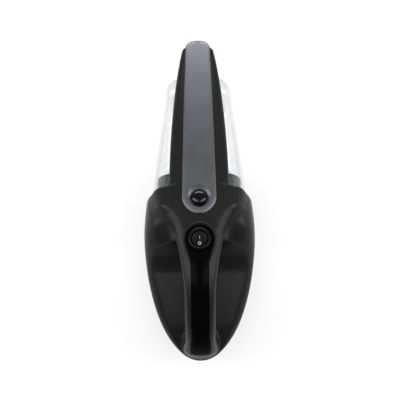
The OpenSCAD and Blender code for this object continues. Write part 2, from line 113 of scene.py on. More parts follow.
VENT_FIRST_Y = -50.0
VENT_PITCH = 7.0
VENT_WIDTH = 3.0
FOOT_SPOTS = [(26, -14), (-26, -14), (22, -100), (-22, -100)]
SCREW_SPOTS = [(-72, 98.5), (-118, 93), (-76, 10.5), (-152, 62)]
JACK_Z = 44.0


# ---------------------------------------------------------------- outlines, close to those of the CAD

def smooth(t):
    u = np.clip(t, 0, 1)
    return u * u * (3 - 2 * u)


def body_half_w(y):
    """Half-width of the body, an ellipse in plan."""
    return BODY_HALF_W * np.sqrt(np.maximum(0.0004, 1 - ((y - PLAN_Y) / PLAN_HALF_LEN) ** 2))


def body_bottom(y):
    """Height of the belly, which rises towards the tail."""
    return BODY_FLOOR + TAIL_RISE * (np.maximum(0, TAIL_START - y) / 70) ** 2


def body_top(y):
    """Height of the body's top: the scoop's floor, a soft ramp up to the shoulders and a low tail."""
    u = np.clip((y - RAMP_START) / RAMP_LENGTH, 0, 1)
    rise = u ** 3 * (6 * u * u - 15 * u + 10)
    return SADDLE_Z + (SHOULDER_Z - SADDLE_Z) * rise - 8 * smooth((-130 - y) / 45)


def body_mid(y):
    """Height at which the body is widest."""
    low = body_bottom(y)
    return low + (body_top(y) - low) * (0.6 - 0.15 * smooth((y + 60) / 50))


def top_line(y):
    """Height of the spine's top on the middle plane."""
    return TOP_Z - TOP_TILT * y - TOP_SAG * y * y


def top_slope(y):
    return math.atan(-TOP_TILT - 2 * TOP_SAG * y)


def under_line(y):
    """Height of the spine's flat underside, along the slide."""
    return JOINT_Z + SPINE_UNDER / math.cos(SLANT) - y * math.tan(SLANT)


def spine_half(y):
    """Half-width of the spine, which narrows along a curve to its nose."""
    return SPINE_HALF_W * np.sqrt(np.maximum(0.01, 1 - (0.869 * np.maximum(0, y - 20) / 150) ** 1.65))


def strip_half(y):
    """Half-width of the strip: a round rear end, a slow taper and a round nose."""
    side = STRIP_HALF_W - 2.6 * (y - 10) / 95 - 0.4 * float(smooth((y - 100) / 50))
    if y < STRIP_TURN:
        return math.sqrt(max(0.1, side ** 2 - (STRIP_TURN - y) ** 2))
    u = max(0, y - STRIP_NOSE) / (STRIP_END - STRIP_NOSE)
    return side * max(0.001, 1 - u ** STRIP_ROUND) ** (1 / STRIP_ROUND)


def crown(y, x):
    """Height of the spine's top across its width."""
    return top_line(y) - CROWN_FALL * x * x


def grip_at(t):
    """The handle's centre line as (y, z), where t counts the path's points."""
    last = len(GRIP_PATH) - 1
    ends = np.vstack([2 * GRIP_PATH[0] - GRIP_PATH[1], GRIP_PATH, 2 * GRIP_PATH[-1] - GRIP_PATH[-2]])
    t = np.atleast_1d(np.asarray(t, float))
    i = np.minimum(last - 1, np.floor(t).astype(int))
    u = (t - i)[:, None]
    a, b, c, d = ends[i], ends[i + 1], ends[i + 2], ends[i + 3]
    return (b + (c - a) * u / 2 + (2 * a - 5 * b + 4 * c - d) * u * u / 2
            + (3 * b - a - 3 * c + d) * u ** 3 / 2)


def grip_dir(t):
    """The unit vector (y, z) along the handle's centre line."""
    last = len(GRIP_PATH) - 1
    t = np.atleast_1d(np.asarray(t, float))
    d = grip_at(np.minimum(last, t + 0.02)) - grip_at(np.maximum(0, t - 0.02))
    return d / np.linalg.norm(d, axis=1)[:, None]


def grip_half(y):
    """Half-width of the handle: it flares to the shoulders in front and a little at the tail."""
    f = np.clip((y + 100) / 92, 0, 1)
    r = np.maximum(0, (-140 - y) / 12)
    return GRIP_HALF_W + 17 * f ** 1.7 + 7.5 * f ** 10 + np.minimum(2.4, 3 * r * r)


def grip_point(t, x, out):
    """The point at x across the handle and out from its centre line."""
    c, d = grip_at(t)[0], grip_dir(t)[0]
    return (x, c[0] + out * d[1], c[1] - out * d[0])


def inlay_band(y):
    """Half-width of the inlay behind its head: a narrow band that widens at both ends."""
    front = (INLAY_HEAD - INLAY_HALF_W) * smooth((y - SWITCH_Y + 28) / 26)
    return float(INLAY_HALF_W + front + 1.6 * smooth((-140 - y) / 14))


def inlay_half(y):
    """Half-width of the inlay: a round head at the switch, then the band."""
    if y > SWITCH_Y:
        return math.sqrt(max(1, INLAY_HEAD ** 2 - (y - SWITCH_Y) ** 2))
    return inlay_band(y)


def bowl_half(y):
    """Half-width of the bowl: a slow taper, a round shoulder and the nozzle."""
    if y < NOZZLE_NECK:
        return BOWL_HALF_W - BOWL_TAPER * y
    if y < NOZZLE_START:
        u = (y - NOZZLE_NECK) / (NOZZLE_START - NOZZLE_NECK)
        return NOZZLE_HALF_W + 19.5 * max(0, 1 - u ** 2.6) ** (1 / 2.6)
    return NOZZLE_HALF_W - (y - NOZZLE_START) / 32


def bowl_bottom(y):
    return BOWL_LOW + BOWL_CLIMB * y


def oval(half_w, up, down, n, a):
    """A point of a superellipse at the angle a, in radians."""
    c, s = math.cos(a), math.sin(a)
    x = half_w * math.copysign(abs(c) ** (2 / n), c)
    z = (up if s > 0 else down) * math.copysign(abs(s) ** (2 / n), s)
    return x, z


# ---------------------------------------------------------------- the housing as one smooth field

def gauge(u, v, half, up, down, n):
    """About how far the point (u, v) lies outside a superellipse, along its own radius."""
    b = np.where(v > 0, up, down)
    r = (np.abs(u / half) ** n + np.abs(v / b) ** n) ** (1 / n)
    rho = np.hypot(u, v)
    return np.where(r < 0.02, -np.minimum(half, b), rho - rho / np.maximum(r, 0.02))


def soft_min(a, b, k):
    """The smaller of two distances, with a fillet about k wide where they meet."""
    h = np.maximum(k - np.abs(a - b), 0) / k
    return np.minimum(a, b) - h ** 3 * k / 6


def soft_max(a, b, k):
    return -soft_min(-a, -b, k)


# The handle's centre line in fine steps: places, points, directions, gaps and length so far.
GRIP_T = np.linspace(0, len(GRIP_PATH) - 1, 521)
GRIP_C = grip_at(GRIP_T)
GRIP_D = grip_dir(GRIP_T)
GRIP_GAP = np.linalg.norm(np.gradient(GRIP_C, axis=0), axis=1)
GRIP_S = np.concatenate([[0], np.cumsum(np.linalg.norm(np.diff(GRIP_C, axis=0), axis=1))])

# grip_frame looks at every COARSE-th step first, and at BATCH points at a time.
COARSE = 16
BATCH = 16384


def grip_frame(y, z):
    """For points in side view: how far out of the handle's centre line, how far past its ends, and the
    centre line's own y there."""
    y, z = np.broadcast_arrays(y, z)
    flat_y, flat_z = np.ravel(y), np.ravel(z)
    result = np.empty((3, len(flat_y)))
    last = len(GRIP_T) - 1
    window = np.arange(-COARSE, COARSE + 1)
    rough = GRIP_C[::COARSE]
    for first in range(0, len(flat_y), BATCH):
        part = slice(first, first + BATCH)
        yy, zz = flat_y[part], flat_z[part]
        near = np.argmin((yy[:, None] - rough[:, 0]) ** 2 + (zz[:, None] - rough[:, 1]) ** 2, axis=1)
        tries = np.clip(near[:, None] * COARSE + window, 0, last)
        gap = (yy[:, None] - GRIP_C[tries, 0]) ** 2 + (zz[:, None] - GRIP_C[tries, 1]) ** 2
        i = tries[np.arange(len(yy)), np.argmin(gap, axis=1)]
        along = (yy - GRIP_C[i, 0]) * GRIP_D[i, 0] + (zz - GRIP_C[i, 1]) * GRIP_D[i, 1]
        reach = GRIP_S[i] + along
        place = np.clip(i + along / GRIP_GAP[i], 0, last)
        j = np.minimum(np.floor(place).astype(int), last - 1)
        u = (place - j)[:, None]
        c = GRIP_C[j] * (1 - u) + GRIP_C[j + 1] * u
        d = GRIP_D[j] * (1 - u) + GRIP_D[j + 1] * u
        result[0, part] = (yy - c[:, 0]) * d[:, 1] - (zz - c[:, 1]) * d[:, 0]
        result[1, part] = np.maximum(-reach, reach - GRIP_S[-1])
        result[2, part] = c[:, 0]
    return [row.reshape(y.shape) for row in result]


# Rounds and fillets: the body's front edge, the handle's root and the spine's root. The scoops' floors
# are a little bowed, and they cut off a body that is SCOOP_LIFT higher.
LIP = 4.5
SCOOP_LIFT = 4.4
SCOOP_BOW = 0.0025
ROOT = 11.0
SPINE_ROOT = 13.0


def joint_side(y, z):
    """Distance in front of the joint plane."""
    return y * math.cos(SLANT) - (z - JOINT_Z) * math.sin(SLANT)


def housing_field(x, y, z, grip=None):
    """Negative inside the housing's outer shape: body, handle and spine, blended."""
    out, past, mid_y = grip if grip is not None else grip_frame(y, z)
    mid = body_mid(y)
    top = body_top(y)
    front = smooth((y + 50) / 22)
    body = gauge(x, z - mid, body_half_w(y), top + SCOOP_LIFT * (1 - front) - mid, mid - body_bottom(y), 2.4)
    body = soft_max(body, (z - top + SCOOP_BOW * x * x - 7 * front) * 0.96, 1.4)
    body = soft_max(body, joint_side(y, z), LIP)
    handle = gauge(x, out, grip_half(mid_y), GRIP_HALF_T, GRIP_HALF_T, 2.5)
    handle = soft_max(handle, past, 6)
    shell = soft_min(body, handle, ROOT + 9 * smooth((y + 62) / 34))
    low = under_line(y)
    half = spine_half(y)
    dome = gauge(x, np.maximum(z - low, 0), half, np.maximum(top_line(y) - low, 1), 1, 2.6)
    dome = np.where(z < low, np.maximum(np.abs(x) - half, 0), dome)
    spine = soft_max(dome, (low - z) * math.cos(SLANT), 1.2)
    spine = soft_max(spine, y - SPINE_END, 6)
    spine = soft_max(spine, -y - 4, 4)
    whole = soft_min(shell, spine, SPINE_ROOT * smooth((26 - y) / 20) + 0.5)
    cap = crown(y, x) + 0.12 + 12 * smooth((-24 - y) / 26)
    whole = soft_max(whole, (z - cap) * 0.96, 1.2)
    plan = gauge(x, y - PLAN_Y, BODY_HALF_W, PLAN_HALF_LEN, PLAN_HALF_LEN, 2.0)
    tail = smooth((-60 - y) / 40)
    return np.where(y < -60, soft_max(whole, plan, 2.0 * tail + 0.01), whole)


def field_slope(field, p):
    """Value and gradient of a field at points p."""
    e = 0.05
    x, y, z = p[:, 0], p[:, 1], p[:, 2]
    here = grip_frame(y, z)
    v = field(x, y, z, here)
    g = np.stack([(field(x + e, y, z, here) - field(x - e, y, z, here)) / (2 * e),
                  (field(x, y + e, z) - field(x, y - e, z)) / (2 * e),
                  (field(x, y, z + e) - field(x, y, z - e)) / (2 * e)], axis=1)
    return v, g


def grid_part(grid, *shifts):
    """The grid less one layer along each axis given with a shift: its last one for 0, its first for 1."""
    pick = [slice(None)] * 3
    for axis, shift in shifts:
        pick[axis] = slice(shift, grid.shape[axis] - 1 + shift)
    return grid[tuple(pick)]


def untie(value, step):
    """Fills grid corners so that no grid face has its inside corners on one diagonal only."""
    for _ in range(6):
        changed = False
        for u, v in ((0, 1), (0, 2), (1, 2)):
            parts = [grid_part(value, (u, du), (v, dv)) < 0
                     for du, dv in ((0, 0), (1, 1), (1, 0), (0, 1))]
            tied = (parts[0] == parts[1]) & (parts[2] == parts[3]) & (parts[0] != parts[2])
            at = np.argwhere(tied)
            if not len(at):
                continue
            changed = True
            first_in = parts[0][tied]
            at[:, u] += np.where(first_in, 1, 0)
            value[at[:, 0], at[:, 1], at[:, 2]] = -0.05 * step
        if not changed:
            break
    return value


def surface_net(field, low, high, step):
    """Quads on the surface where a field is zero, with their points moved onto it."""
    axes = [np.arange(low[k], high[k] + step, step) for k in range(3)]
    yy, zz = np.meshgrid(axes[1], axes[2], indexing="ij")
    grip = [a[None] for a in grip_frame(yy, zz)]
    value = untie(field(axes[0][:, None, None], yy[None], zz[None], grip), step)
    inside = value < 0
    count = np.zeros([size - 1 for size in value.shape])
    total = np.zeros((*count.shape, 3))
    for axis in range(3):
        va, vb = grid_part(value, (axis, 0)), grid_part(value, (axis, 1))
        cross = (va < 0) != (vb < 0)
        part = np.where(cross, va / np.where(cross, va - vb, 1), 0)
        others = [k for k in range(3) if k != axis]
        for s in ((0, 0), (0, 1), (1, 0), (1, 1)):
            shifts = list(zip(others, s))
            c = grid_part(cross, *shifts)
            count += c
            total[..., axis] += np.where(c, grid_part(part, *shifts), 0)
            for k, d in shifts:
                total[..., k] += np.where(c, d, 0)
    used = count > 0
    index = np.full(used.shape, -1)
    index[used] = np.arange(used.sum())
    cell = np.argwhere(used)
    points = np.array([axes[k][0] for k in range(3)]) + step * (cell + total[used] / count[used][:, None])
    quads = []
    for axis in range(3):
        core = inside[tuple(slice(None) if k == axis else slice(1, -1) for k in range(3))]
        ia, ib = grid_part(core, (axis, 0)), grid_part(core, (axis, 1))
        u, v = (axis + 1) % 3, (axis + 2) % 3
        for flip, mask in ((False, ia & ~ib), (True, ~ia & ib)):
            at = np.argwhere(mask)
            at += np.array([0 if k == axis else 1 for k in range(3)])
            corners = []
            for du, dv in ((-1, -1), (0, -1), (0, 0), (-1, 0)):
                q = at.copy()
                q[:, u] += du
                q[:, v] += dv
                corners.append(index[q[:, 0], q[:, 1], q[:, 2]])
            quad = np.stack(corners, axis=1)
            quads.append(quad[:, ::-1] if flip else quad)
    quads = np.concatenate(quads)
    quads = quads[(quads >= 0).all(axis=1)]
    return relax(field, points, quads)


def relax(field, points, quads):
    """Evens a net's points out and keeps them on the surface."""
    pairs = np.concatenate([quads[:, [k, (k + 1) % 4]] for k in range(4)])
    links = np.bincount(pairs[:, 0], minlength=len(points)) + np.bincount(pairs[:, 1], minlength=len(points))
    for turn in range(9):
        if turn < 6:
            total = np.zeros_like(points)
            for k in range(3):
                total[:, k] = (np.bincount(pairs[:, 0], points[pairs[:, 1], k], len(points))
                               + np.bincount(pairs[:, 1], points[pairs[:, 0], k], len(points)))
            points = points + 0.6 * (total / np.maximum(links, 1)[:, None] - points)
        value, slope = field_slope(field, points)
        size = np.maximum((slope ** 2).sum(axis=1), 0.05)
        move = np.clip(value / size, -2, 2)[:, None] * slope
        points = points - move
    return points, quads


# ---------------------------------------------------------------- mesh helpers

def link(obj):
    bpy.context.scene.collection.objects.link(obj)
    return obj


def mesh_object(name, points, faces):
    me = bpy.data.meshes.new(name)
    me.from_pydata([tuple(float(c) * MM for c in p) for p in points], [],
                   [tuple(int(i) for i in f) for f in faces])
    me.update()
    return link(bpy.data.objects.new(name, me))


def face_out(obj):
    """Turns all the faces of a closed mesh outwards."""
    bm = bmesh.new()
    bm.from_mesh(obj.data)
    bmesh.ops.recalc_face_normals(bm, faces=bm.faces)
    bm.to_mesh(obj.data)
    bm.free()
    return obj


def between(a, b):
    """Quads between two rings of point numbers."""
    return list(zip(a, a[1:] + a[:1], b[1:] + b[:1], b))


def numbered(rings):
    """All the points of some rings of equal length, and each ring's point numbers."""
    n = len(rings[0])
    return [p for r in rings for p in r], [list(range(j * n, j * n + n)) for j in range(len(rings))]


def loft(name, rings):
    """A tube of quads through rings of equal length, with its ends closed."""
    points, rows = numbered(rings)
    faces = [quad for a, b in zip(rows, rows[1:]) for quad in between(a, b)]
    return face_out(mesh_object(name, points, faces + [rows[0][::-1], rows[-1]]))


def loop(name, rings):
    """A skin of quads through rings of equal length, whose last ring joins the first."""
    points, rows = numbered(rings)
    faces = [quad for a, b in zip(rows, rows[1:] + rows[:1]) for quad in between(a, b)]
    return face_out(mesh_object(name, points, faces))


def lathe(name, profile, segments=96, matrix=None):
    """A solid turned from an (r, z) profile about Z. The profile's ends are on the axis, or they meet."""
    points = []
    faces = []
    rows = []
    closed = profile[0][0] > 1e-6 and math.dist(profile[0], profile[-1]) < 1e-6
    for r, z in profile[:-1] if closed else profile:
        if r < 1e-6:
            rows.append([len(points)])
            points.append((0, 0, z))
            continue
        rows.append(list(range(len(points), len(points) + segments)))
        for k in range(segments):
            a = 2 * math.pi * k / segments
            points.append((r * math.cos(a), r * math.sin(a), z))
    if closed:
        rows.append(rows[0])
    for pair in zip(rows, rows[1:]):
        if len(pair[0]) + len(pair[1]) > 2:
            wide = [row * segments if len(row) == 1 else row for row in pair]
            faces += [tuple(dict.fromkeys(quad)) for quad in between(*wide)]
    obj = face_out(mesh_object(name, points, faces))
    if matrix is not None:
        obj.data.transform(matrix)
    return obj


def round_profile(points, radius, steps=5):
    """Rounds the inner corners of an (r, z) profile."""
    result = [points[0]]
    for a, b, c in zip(points, points[1:], points[2:]):
        a, b, c = Vector(a), Vector(b), Vector(c)
        cut = min(radius, (b - a).length * 0.45, (c - b).length * 0.45)
        p, q = b + (a - b).normalized() * cut, b + (c - b).normalized() * cut
        for k in range(steps + 1):
            u = k / steps
            result.append(tuple(p * (1 - u) ** 2 + b * 2 * u * (1 - u) + q * u ** 2))
    return result + [points[-1]]


def apply_modifiers(obj):
    """Puts the modifiers' result in place of the object's mesh."""
    depsgraph = bpy.context.evaluated_depsgraph_get()
    fresh = bpy.data.meshes.new_from_object(obj.evaluated_get(depsgraph))
    obj.modifiers.clear()
    old = obj.data
    obj.data = fresh
    bpy.data.meshes.remove(old)
    return obj


def cut(obj, tool, operation="DIFFERENCE"):
    """Cuts the tool from a piece, or joins it on, and removes the tool."""
    m = obj.modifiers.new("cut", "BOOLEAN")
    m.operation = operation
    m.object = tool
    m.solver = "MANIFOLD"
    apply_modifiers(obj)
    bpy.data.objects.remove(tool)
    return obj


def bevel(obj, width, segments=3, angle=35):
    m = obj.modifiers.new("bevel", "BEVEL")
    m.width = width * MM
    m.segments = segments
    m.limit_method = "ANGLE"
    m.angle_limit = math.radians(angle)
    m.harden_normals = False
    return apply_modifiers(obj)


def shade(obj, angle=32):
    """Smooth shading, with sharp edges over the angle."""
    me = obj.data
    me.shade_smooth()
    me.set_sharp_from_angle(angle=math.radians(angle))
    return obj


def block(name, low, high, matrix=None):
    """A box used as a cutter or a base, from corner to corner in millimetres."""
    bm = bmesh.new()
    bmesh.ops.create_cube(bm, size=1)
    size = [high[k] - low[k] for k in range(3)]
    mid = [(high[k] + low[k]) / 2 for k in range(3)]
    for v in bm.verts:
        v.co = Vector([(mid[k] + v.co[k] * size[k]) * MM for k in range(3)])
    me = bpy.data.meshes.new(name)
    bm.to_mesh(me)
    bm.free()
    if matrix is not None:
        me.transform(matrix)
    return link(bpy.data.objects.new(name, me))


def rod(name, p, q, r, segments=48):
    """A straight round bar from p to q."""
    p, q = Vector(p), Vector(q)
    turn = (q - p).to_track_quat("Z", "Y").to_matrix().to_4x4()
    obj = lathe(name, [(0, 0), (r, 0), (r, (q - p).length), (0, (q - p).length)], segments, turn)
    obj.data.transform(Matrix.Translation(p * MM))
    return obj


def mirror_x(obj, name):
    """A copy of a piece, mirrored about X = 0, with its faces turned the right way out."""
    me = obj.data.copy()
    me.transform(Matrix.Scale(-1, 4, (1, 0, 0)))
    me.flip_normals()
    me.name = name
    return link(bpy.data.objects.new(name, me))


def piece(obj, body, slot, material, *nodes):
    """Gives a finished piece its material and its body, and hides the CAD nodes that it stands for."""
    obj.data.materials.clear()
    obj.data.materials.append(material)
    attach(obj, body)
    if nodes:
        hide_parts(*nodes)
    return obj


def joint_matrix():
    """The joint plane's own frame: +Y along the slide, +Z up the plane."""
    return Matrix.Translation((0, 0, JOINT_Z * MM)) @ Matrix.Rotation(-SLANT, 4, "X")


def top_matrix(y):
    """The frame that lies on the spine's top at y, with +Z out of it."""
    return (Matrix.Translation((0, y * MM, float(top_line(y)) * MM))
            @ Matrix.Rotation(top_slope(y), 4, "X"))


def switch_matrix():
    """The frame that lies on the handle at the switch, with +Z out of it."""
    c, d = grip_at(SWITCH_T)[0], grip_dir(SWITCH_T)[0]
    lean = math.atan2(d[1], -d[0])
    return (Matrix.Translation((0, c[0] * MM, c[1] * MM)) @ Matrix.Rotation(-lean, 4, "X")
            @ Matrix.Translation((0, 0, GRIP_HALF_T * MM)))


# ---------------------------------------------------------------- materials

def new_material(name, color, rough, metallic=0.0):
    mat = bpy.data.materials.new(name)
    mat.use_nodes = True
    node = mat.node_tree.nodes["Principled BSDF"]
    node.inputs["Base Color"].default_value = (*color, 1)
    node.inputs["Roughness"].default_value = rough
    node.inputs["Metallic"].default_value = metallic
    return mat, mat.node_tree, node


def add_node(tree, kind, **values):
    """A new shader node with the given values in its sockets."""
    node = tree.nodes.new("ShaderNode" + kind)
    for socket, value in values.items():
        node.inputs[socket].default_value = value
    return node


def noise(tree, scale, detail=4.0, roughness=0.6, stretch=(1, 1, 1)):
    """A noise pattern fixed to the piece, from 0 to 1."""
    coord = add_node(tree, "TexCoord")
    mapping = add_node(tree, "Mapping", Scale=stretch)
    tex = add_node(tree, "TexNoise", Scale=scale, Detail=detail, Roughness=roughness)
    tree.links.new(coord.outputs["Object"], mapping.inputs["Vector"])
    tree.links.new(mapping.outputs["Vector"], tex.inputs["Vector"])
    return tex.outputs["Fac"]


def vary(tree, socket, source, low, high, start=0.3, end=0.7):
    """Lets a 0 to 1 value drive a socket between two colours or two grey levels."""
    node = add_node(tree, "ValToRGB")
    for stop, place, tone in zip(node.color_ramp.elements, (start, end), (low, high)):
        stop.position = place
        stop.color = (*(tone if isinstance(tone, tuple) else (tone, tone, tone)), 1)
    tree.links.new(source, node.inputs["Fac"])
    tree.links.new(node.outputs["Color"], socket)


def bump(tree, shader, source, strength, distance):
    """Raises the shader's surface with a grey pattern."""
    node = add_node(tree, "Bump", Strength=strength, Distance=distance)
    tree.links.new(source, node.inputs["Height"])
    tree.links.new(node.outputs["Normal"], shader.inputs["Normal"])


def moulded_plastic(name, color, rough, spread=0.05, grain=900, height=0.00002, tint=0.15, shine=0.5):
    """Injection-moulded plastic: slight tone drift, uneven polish and a fine surface texture."""
    mat, tree, node = new_material(name, color, rough)
    drift = noise(tree, 14, 3)
    dark = tuple(c * (1 - tint) for c in color)
    light = tuple(min(1, c * (1 + tint)) for c in color)
    vary(tree, node.inputs["Base Color"], drift, dark, light)
    polish = noise(tree, 60, 5)
    vary(tree, node.inputs["Roughness"], polish, max(0, rough - spread), rough + spread)
    bump(tree, node, noise(tree, grain, 2), 0.1, height)
    node.inputs["Specular IOR Level"].default_value = shine
    return mat


def brushed_metal(name, color, rough, stretch):
    """Bare metal with fine lines along one axis."""
    mat, tree, node = new_material(name, color, rough, 1.0)
    lines = noise(tree, 500, 3, 0.7, stretch)
    vary(tree, node.inputs["Roughness"], lines, rough - 0.08, rough + 0.12)
    drift = noise(tree, 40, 3)
    vary(tree, node.inputs["Base Color"], drift, tuple(c * 0.85 for c in color), color)
    bump(tree, node, lines, 0.2, 0.00002)
    return mat


BLACK_SHELL = moulded_plastic("shell_plastic", (0.0085, 0.0086, 0.0085), 0.28, 0.02, 1400, 0.000006,
                              shine=0.075)
STRIP_GREY = moulded_plastic("strip_paint", (0.068, 0.073, 0.079), 0.40, 0.03, 1600, 0.000006, 0.04, 0.3)
STRIP_GREY.node_tree.nodes["Principled BSDF"].inputs["Metallic"].default_value = 0.7
GLOSS_BLACK = moulded_plastic("inlay_gloss", (0.0012, 0.0012, 0.0012), 0.16, 0.02, 1400, 0.000003,
                              shine=0.008)
BUTTON_BLACK = moulded_plastic("button_gloss", (0.0015, 0.0015, 0.0015), 0.2, 0.02, 1400, 0.000003,
                               shine=0.25)
SWITCH_BLACK = moulded_plastic("switch_plastic", (0.0018, 0.0018, 0.0018), 0.33, 0.03, 1800, 0.00001,
                               shine=0.08)
MARK_WHITE = moulded_plastic("switch_marks", (0.20, 0.205, 0.205), 0.5)
DARK_GREY = moulded_plastic("frame_plastic", (0.026, 0.0275, 0.029), 0.34, 0.04, 1500, 0.00001)
INNER_BLACK = moulded_plastic("inner_plastic", (0.018, 0.018, 0.019), 0.45, 0.05, 1200, 0.00002)
NYLON = moulded_plastic("nylon", (0.72, 0.71, 0.67), 0.42, 0.05, 1200, 0.00002, 0.05)
ACETAL = moulded_plastic("acetal", (0.60, 0.57, 0.46), 0.38, 0.05, 1200, 0.00002, 0.05)
RUBBER = moulded_plastic("rubber", (0.022, 0.022, 0.023), 0.72, 0.06, 2200, 0.00004)
STEEL = brushed_metal("steel", (0.62, 0.62, 0.64), 0.28, (1, 12, 1))
MOTOR_CAN = brushed_metal("motor_can", (0.50, 0.51, 0.53), 0.34, (1, 18, 1))


def filter_cloth():
    """Felted filter cloth: matted fibres with a soft sheen."""
    mat, tree, node = new_material("filter_cloth", (0.55, 0.55, 0.53), 0.95)
    fibres = noise(tree, 900, 6, 0.75, (1, 1, 2.5))
    vary(tree, node.inputs["Base Color"], fibres, (0.38, 0.38, 0.37), (0.66, 0.66, 0.64), 0.35, 0.65)
    node.inputs["Sheen Weight"].default_value = 0.35
    node.inputs["Sheen Roughness"].default_value = 0.5
    bump(tree, node, fibres, 0.7, 0.0003)
    return mat


def cell_wrap():
    """Shrink-wrapped battery cell: smooth film with slight ripples."""
    mat, tree, node = new_material("cell_wrap", (0.03, 0.16, 0.42), 0.3)
    ripple = noise(tree, 90, 4, 0.6, (1, 3, 1))
    vary(tree, node.inputs["Base Color"], ripple, (0.022, 0.13, 0.36), (0.035, 0.18, 0.46))
    vary(tree, node.inputs["Roughness"], ripple, 0.22, 0.4)
    bump(tree, node, ripple, 0.3, 0.0001)
    return mat


def board_green():
    """Solder mask over a faint copper pattern."""
    mat, tree, node = new_material("board_mask", (0.01, 0.09, 0.035), 0.3)
    coord = add_node(tree, "TexCoord")
    brick = add_node(tree, "TexBrick", Scale=260, Color1=(0.010, 0.085, 0.035, 1),
                     Color2=(0.012, 0.110, 0.045, 1), Mortar=(0.020, 0.160, 0.070, 1))
    tree.links.new(coord.outputs["Object"], brick.inputs["Vector"])
    tree.links.new(brick.outputs["Color"], node.inputs["Base Color"])
    vary(tree, node.inputs["Roughness"], noise(tree, 120), 0.22, 0.4)
    bump(tree, node, brick.outputs["Fac"], 0.3, 0.00005)
    return mat


def clear_plastic():
    """Clear moulding: it lets nearly all light through, and shines by Fresnel."""
    mat = bpy.data.materials.new("clear_plastic")
    mat.use_nodes = True
    tree = mat.node_tree
    tree.nodes.clear()
    out = add_node(tree, "OutputMaterial")
    mix = add_node(tree, "MixShader")
    through = add_node(tree, "BsdfTransparent", Color=(0.955, 0.960, 0.966, 1))
    gloss = add_node(tree, "BsdfGlossy", Roughness=0.07)
    facing = add_node(tree, "LayerWeight", Blend=0.5)
    power = add_node(tree, "Math")
    power.operation = "POWER"
    power.inputs[1].default_value = 4.5
    share = add_node(tree, "Math")
    share.operation = "MULTIPLY_ADD"
    share.inputs[1].default_value = 0.6
    share.inputs[2].default_value = 0.03
    vary(tree, through.inputs["Color"], noise(tree, 35, 3), (0.958, 0.959, 0.962), (0.966, 0.967, 0.970))
    bump(tree, gloss, noise(tree, 300, 2), 0.15, 0.00003)
    for source, socket in ((facing.outputs["Facing"], power.inputs[0]),
                           (power.outputs["Value"], share.inputs[0]),
                           (share.outputs["Value"], mix.inputs["Fac"]),
                           (through.outputs["BSDF"], mix.inputs[1]),
                           (gloss.outputs["BSDF"], mix.inputs[2]),
                           (mix.outputs["Shader"], out.inputs["Surface"])):
        tree.links.new(source, socket)
    return mat


FILTER_CLOTH = filter_cloth()
CELL_WRAP = cell_wrap()
BOARD_GREEN = board_green()
CLEAR = clear_plastic()


# ---------------------------------------------------------------- housing

NET_STEP = 1.5


def outer_half(x, y, z, grip=None):
    """The casing's right half, and a little past the middle plane."""
    return np.maximum(housing_field(x, y, z, grip), -6 - x)


def inner_half(x, y, z, grip=None):
    """The hollow inside the casing's right half."""
    return np.maximum(housing_field(x, y, z, grip) + WALL + 0.2, -4 - x)


def band(half, steps, place, high, low):
    """A flat closed section: across from +half to -half at one height, and back at the other."""
    across = [half * (1 - 2 * k / steps) for k in range(steps + 1)]
    return [place(x, high) for x in across] + [place(x, low) for x in across[::-1]]


def strip_stops(rear, straight, gap, nose):
    """Places along the strip, closer together at its round rear and at its nose."""
    stops = [STRIP_TURN - (STRIP_HALF_W + 0.1) * math.cos(math.radians(a)) for a in rear]
    stops += list(np.linspace(STRIP_TURN + gap, STRIP_NOSE - 1, straight))
    return stops + [STRIP_NOSE + (STRIP_END - STRIP_NOSE) * math.sin(math.radians(a)) for a in nose]


def strip_rings(grow, high, low):
    """Sections of the strip's recess, between two heights over the crown line."""
    stops = strip_stops(np.linspace(1.5, 88, 26), 60, 1, np.linspace(4, 89, 18))
    return [band(strip_half(y) + grow, 14, lambda x, h: (x, y, crown(y, x) + h), high, low) for y in stops]


def grip_skin(t, x):
    """Height of the handle's own surface over its centre line."""
    half = float(grip_half(grip_at(t)[0][0]))
    return GRIP_HALF_T * max(0.0, 1 - (abs(x) / half) ** 2.5) ** (1 / 2.5)


INLAY_FRONT = 2.03
INLAY_BACK = 10.97
INLAY_CORNER = 2.2


def inlay_stops(count):
    """Places along the handle, closer together at the round head and at the tail."""
    first = INLAY_FRONT + (2.9 - INLAY_FRONT) * (1 - np.cos(np.linspace(0.06, math.pi / 2, 22)))
    return list(first) + list(np.linspace(2.96, INLAY_BACK, count))


def inlay_rings(grow, high, low):
    """Sections of the inlay's recess, between two heights over the handle's surface."""
    rings = []
    for t in inlay_stops(80):
        c, d = grip_at(t)[0], grip_dir(t)[0]
        half = inlay_half(c[0] + GRIP_HALF_T * d[1]) + grow
        rings.append(band(half, 16, lambda x, h: grip_point(t, x, grip_skin(t, x) + h), high, low))
    return rings


def mouth_cutter(grow, v0, v1):
    """The joint's opening as a prism along the slide."""
    half, up = MOUTH_HALF
    ring = [oval(half + grow, up + grow, up + grow, 2.4, 2 * math.pi * k / 120) for k in range(120)]
    rings = [[(x, v, z + MOUTH_MID) for x, z in ring] for v in (v0, v1)]
    obj = loft("cutter", rings)
    obj.data.transform(joint_matrix())
    return obj


def set_field_normals(obj, field, reach=0.12):
    """Faces that lie on the field's surface take their normals from it, so that they shine smoothly."""
    me = obj.data
    points = np.array([v.co for v in me.vertices]) / MM
    value, slope = field_slope(field, points)
    slope /= np.maximum(np.linalg.norm(slope, axis=1), 1e-9)[:, None]
    normals = np.array([c.vector for c in me.corner_normals])
    for poly in me.polygons:
        ids = list(poly.vertices)
        mean = slope[ids].mean(axis=0)
        if np.abs(value[ids]).max() < reach and float(np.dot(mean, poly.normal)) > 0.93:
            for loop in poly.loop_indices:
                normals[loop] = slope[me.loops[loop].vertex_index]
    me.normals_split_custom_set(normals.tolist())


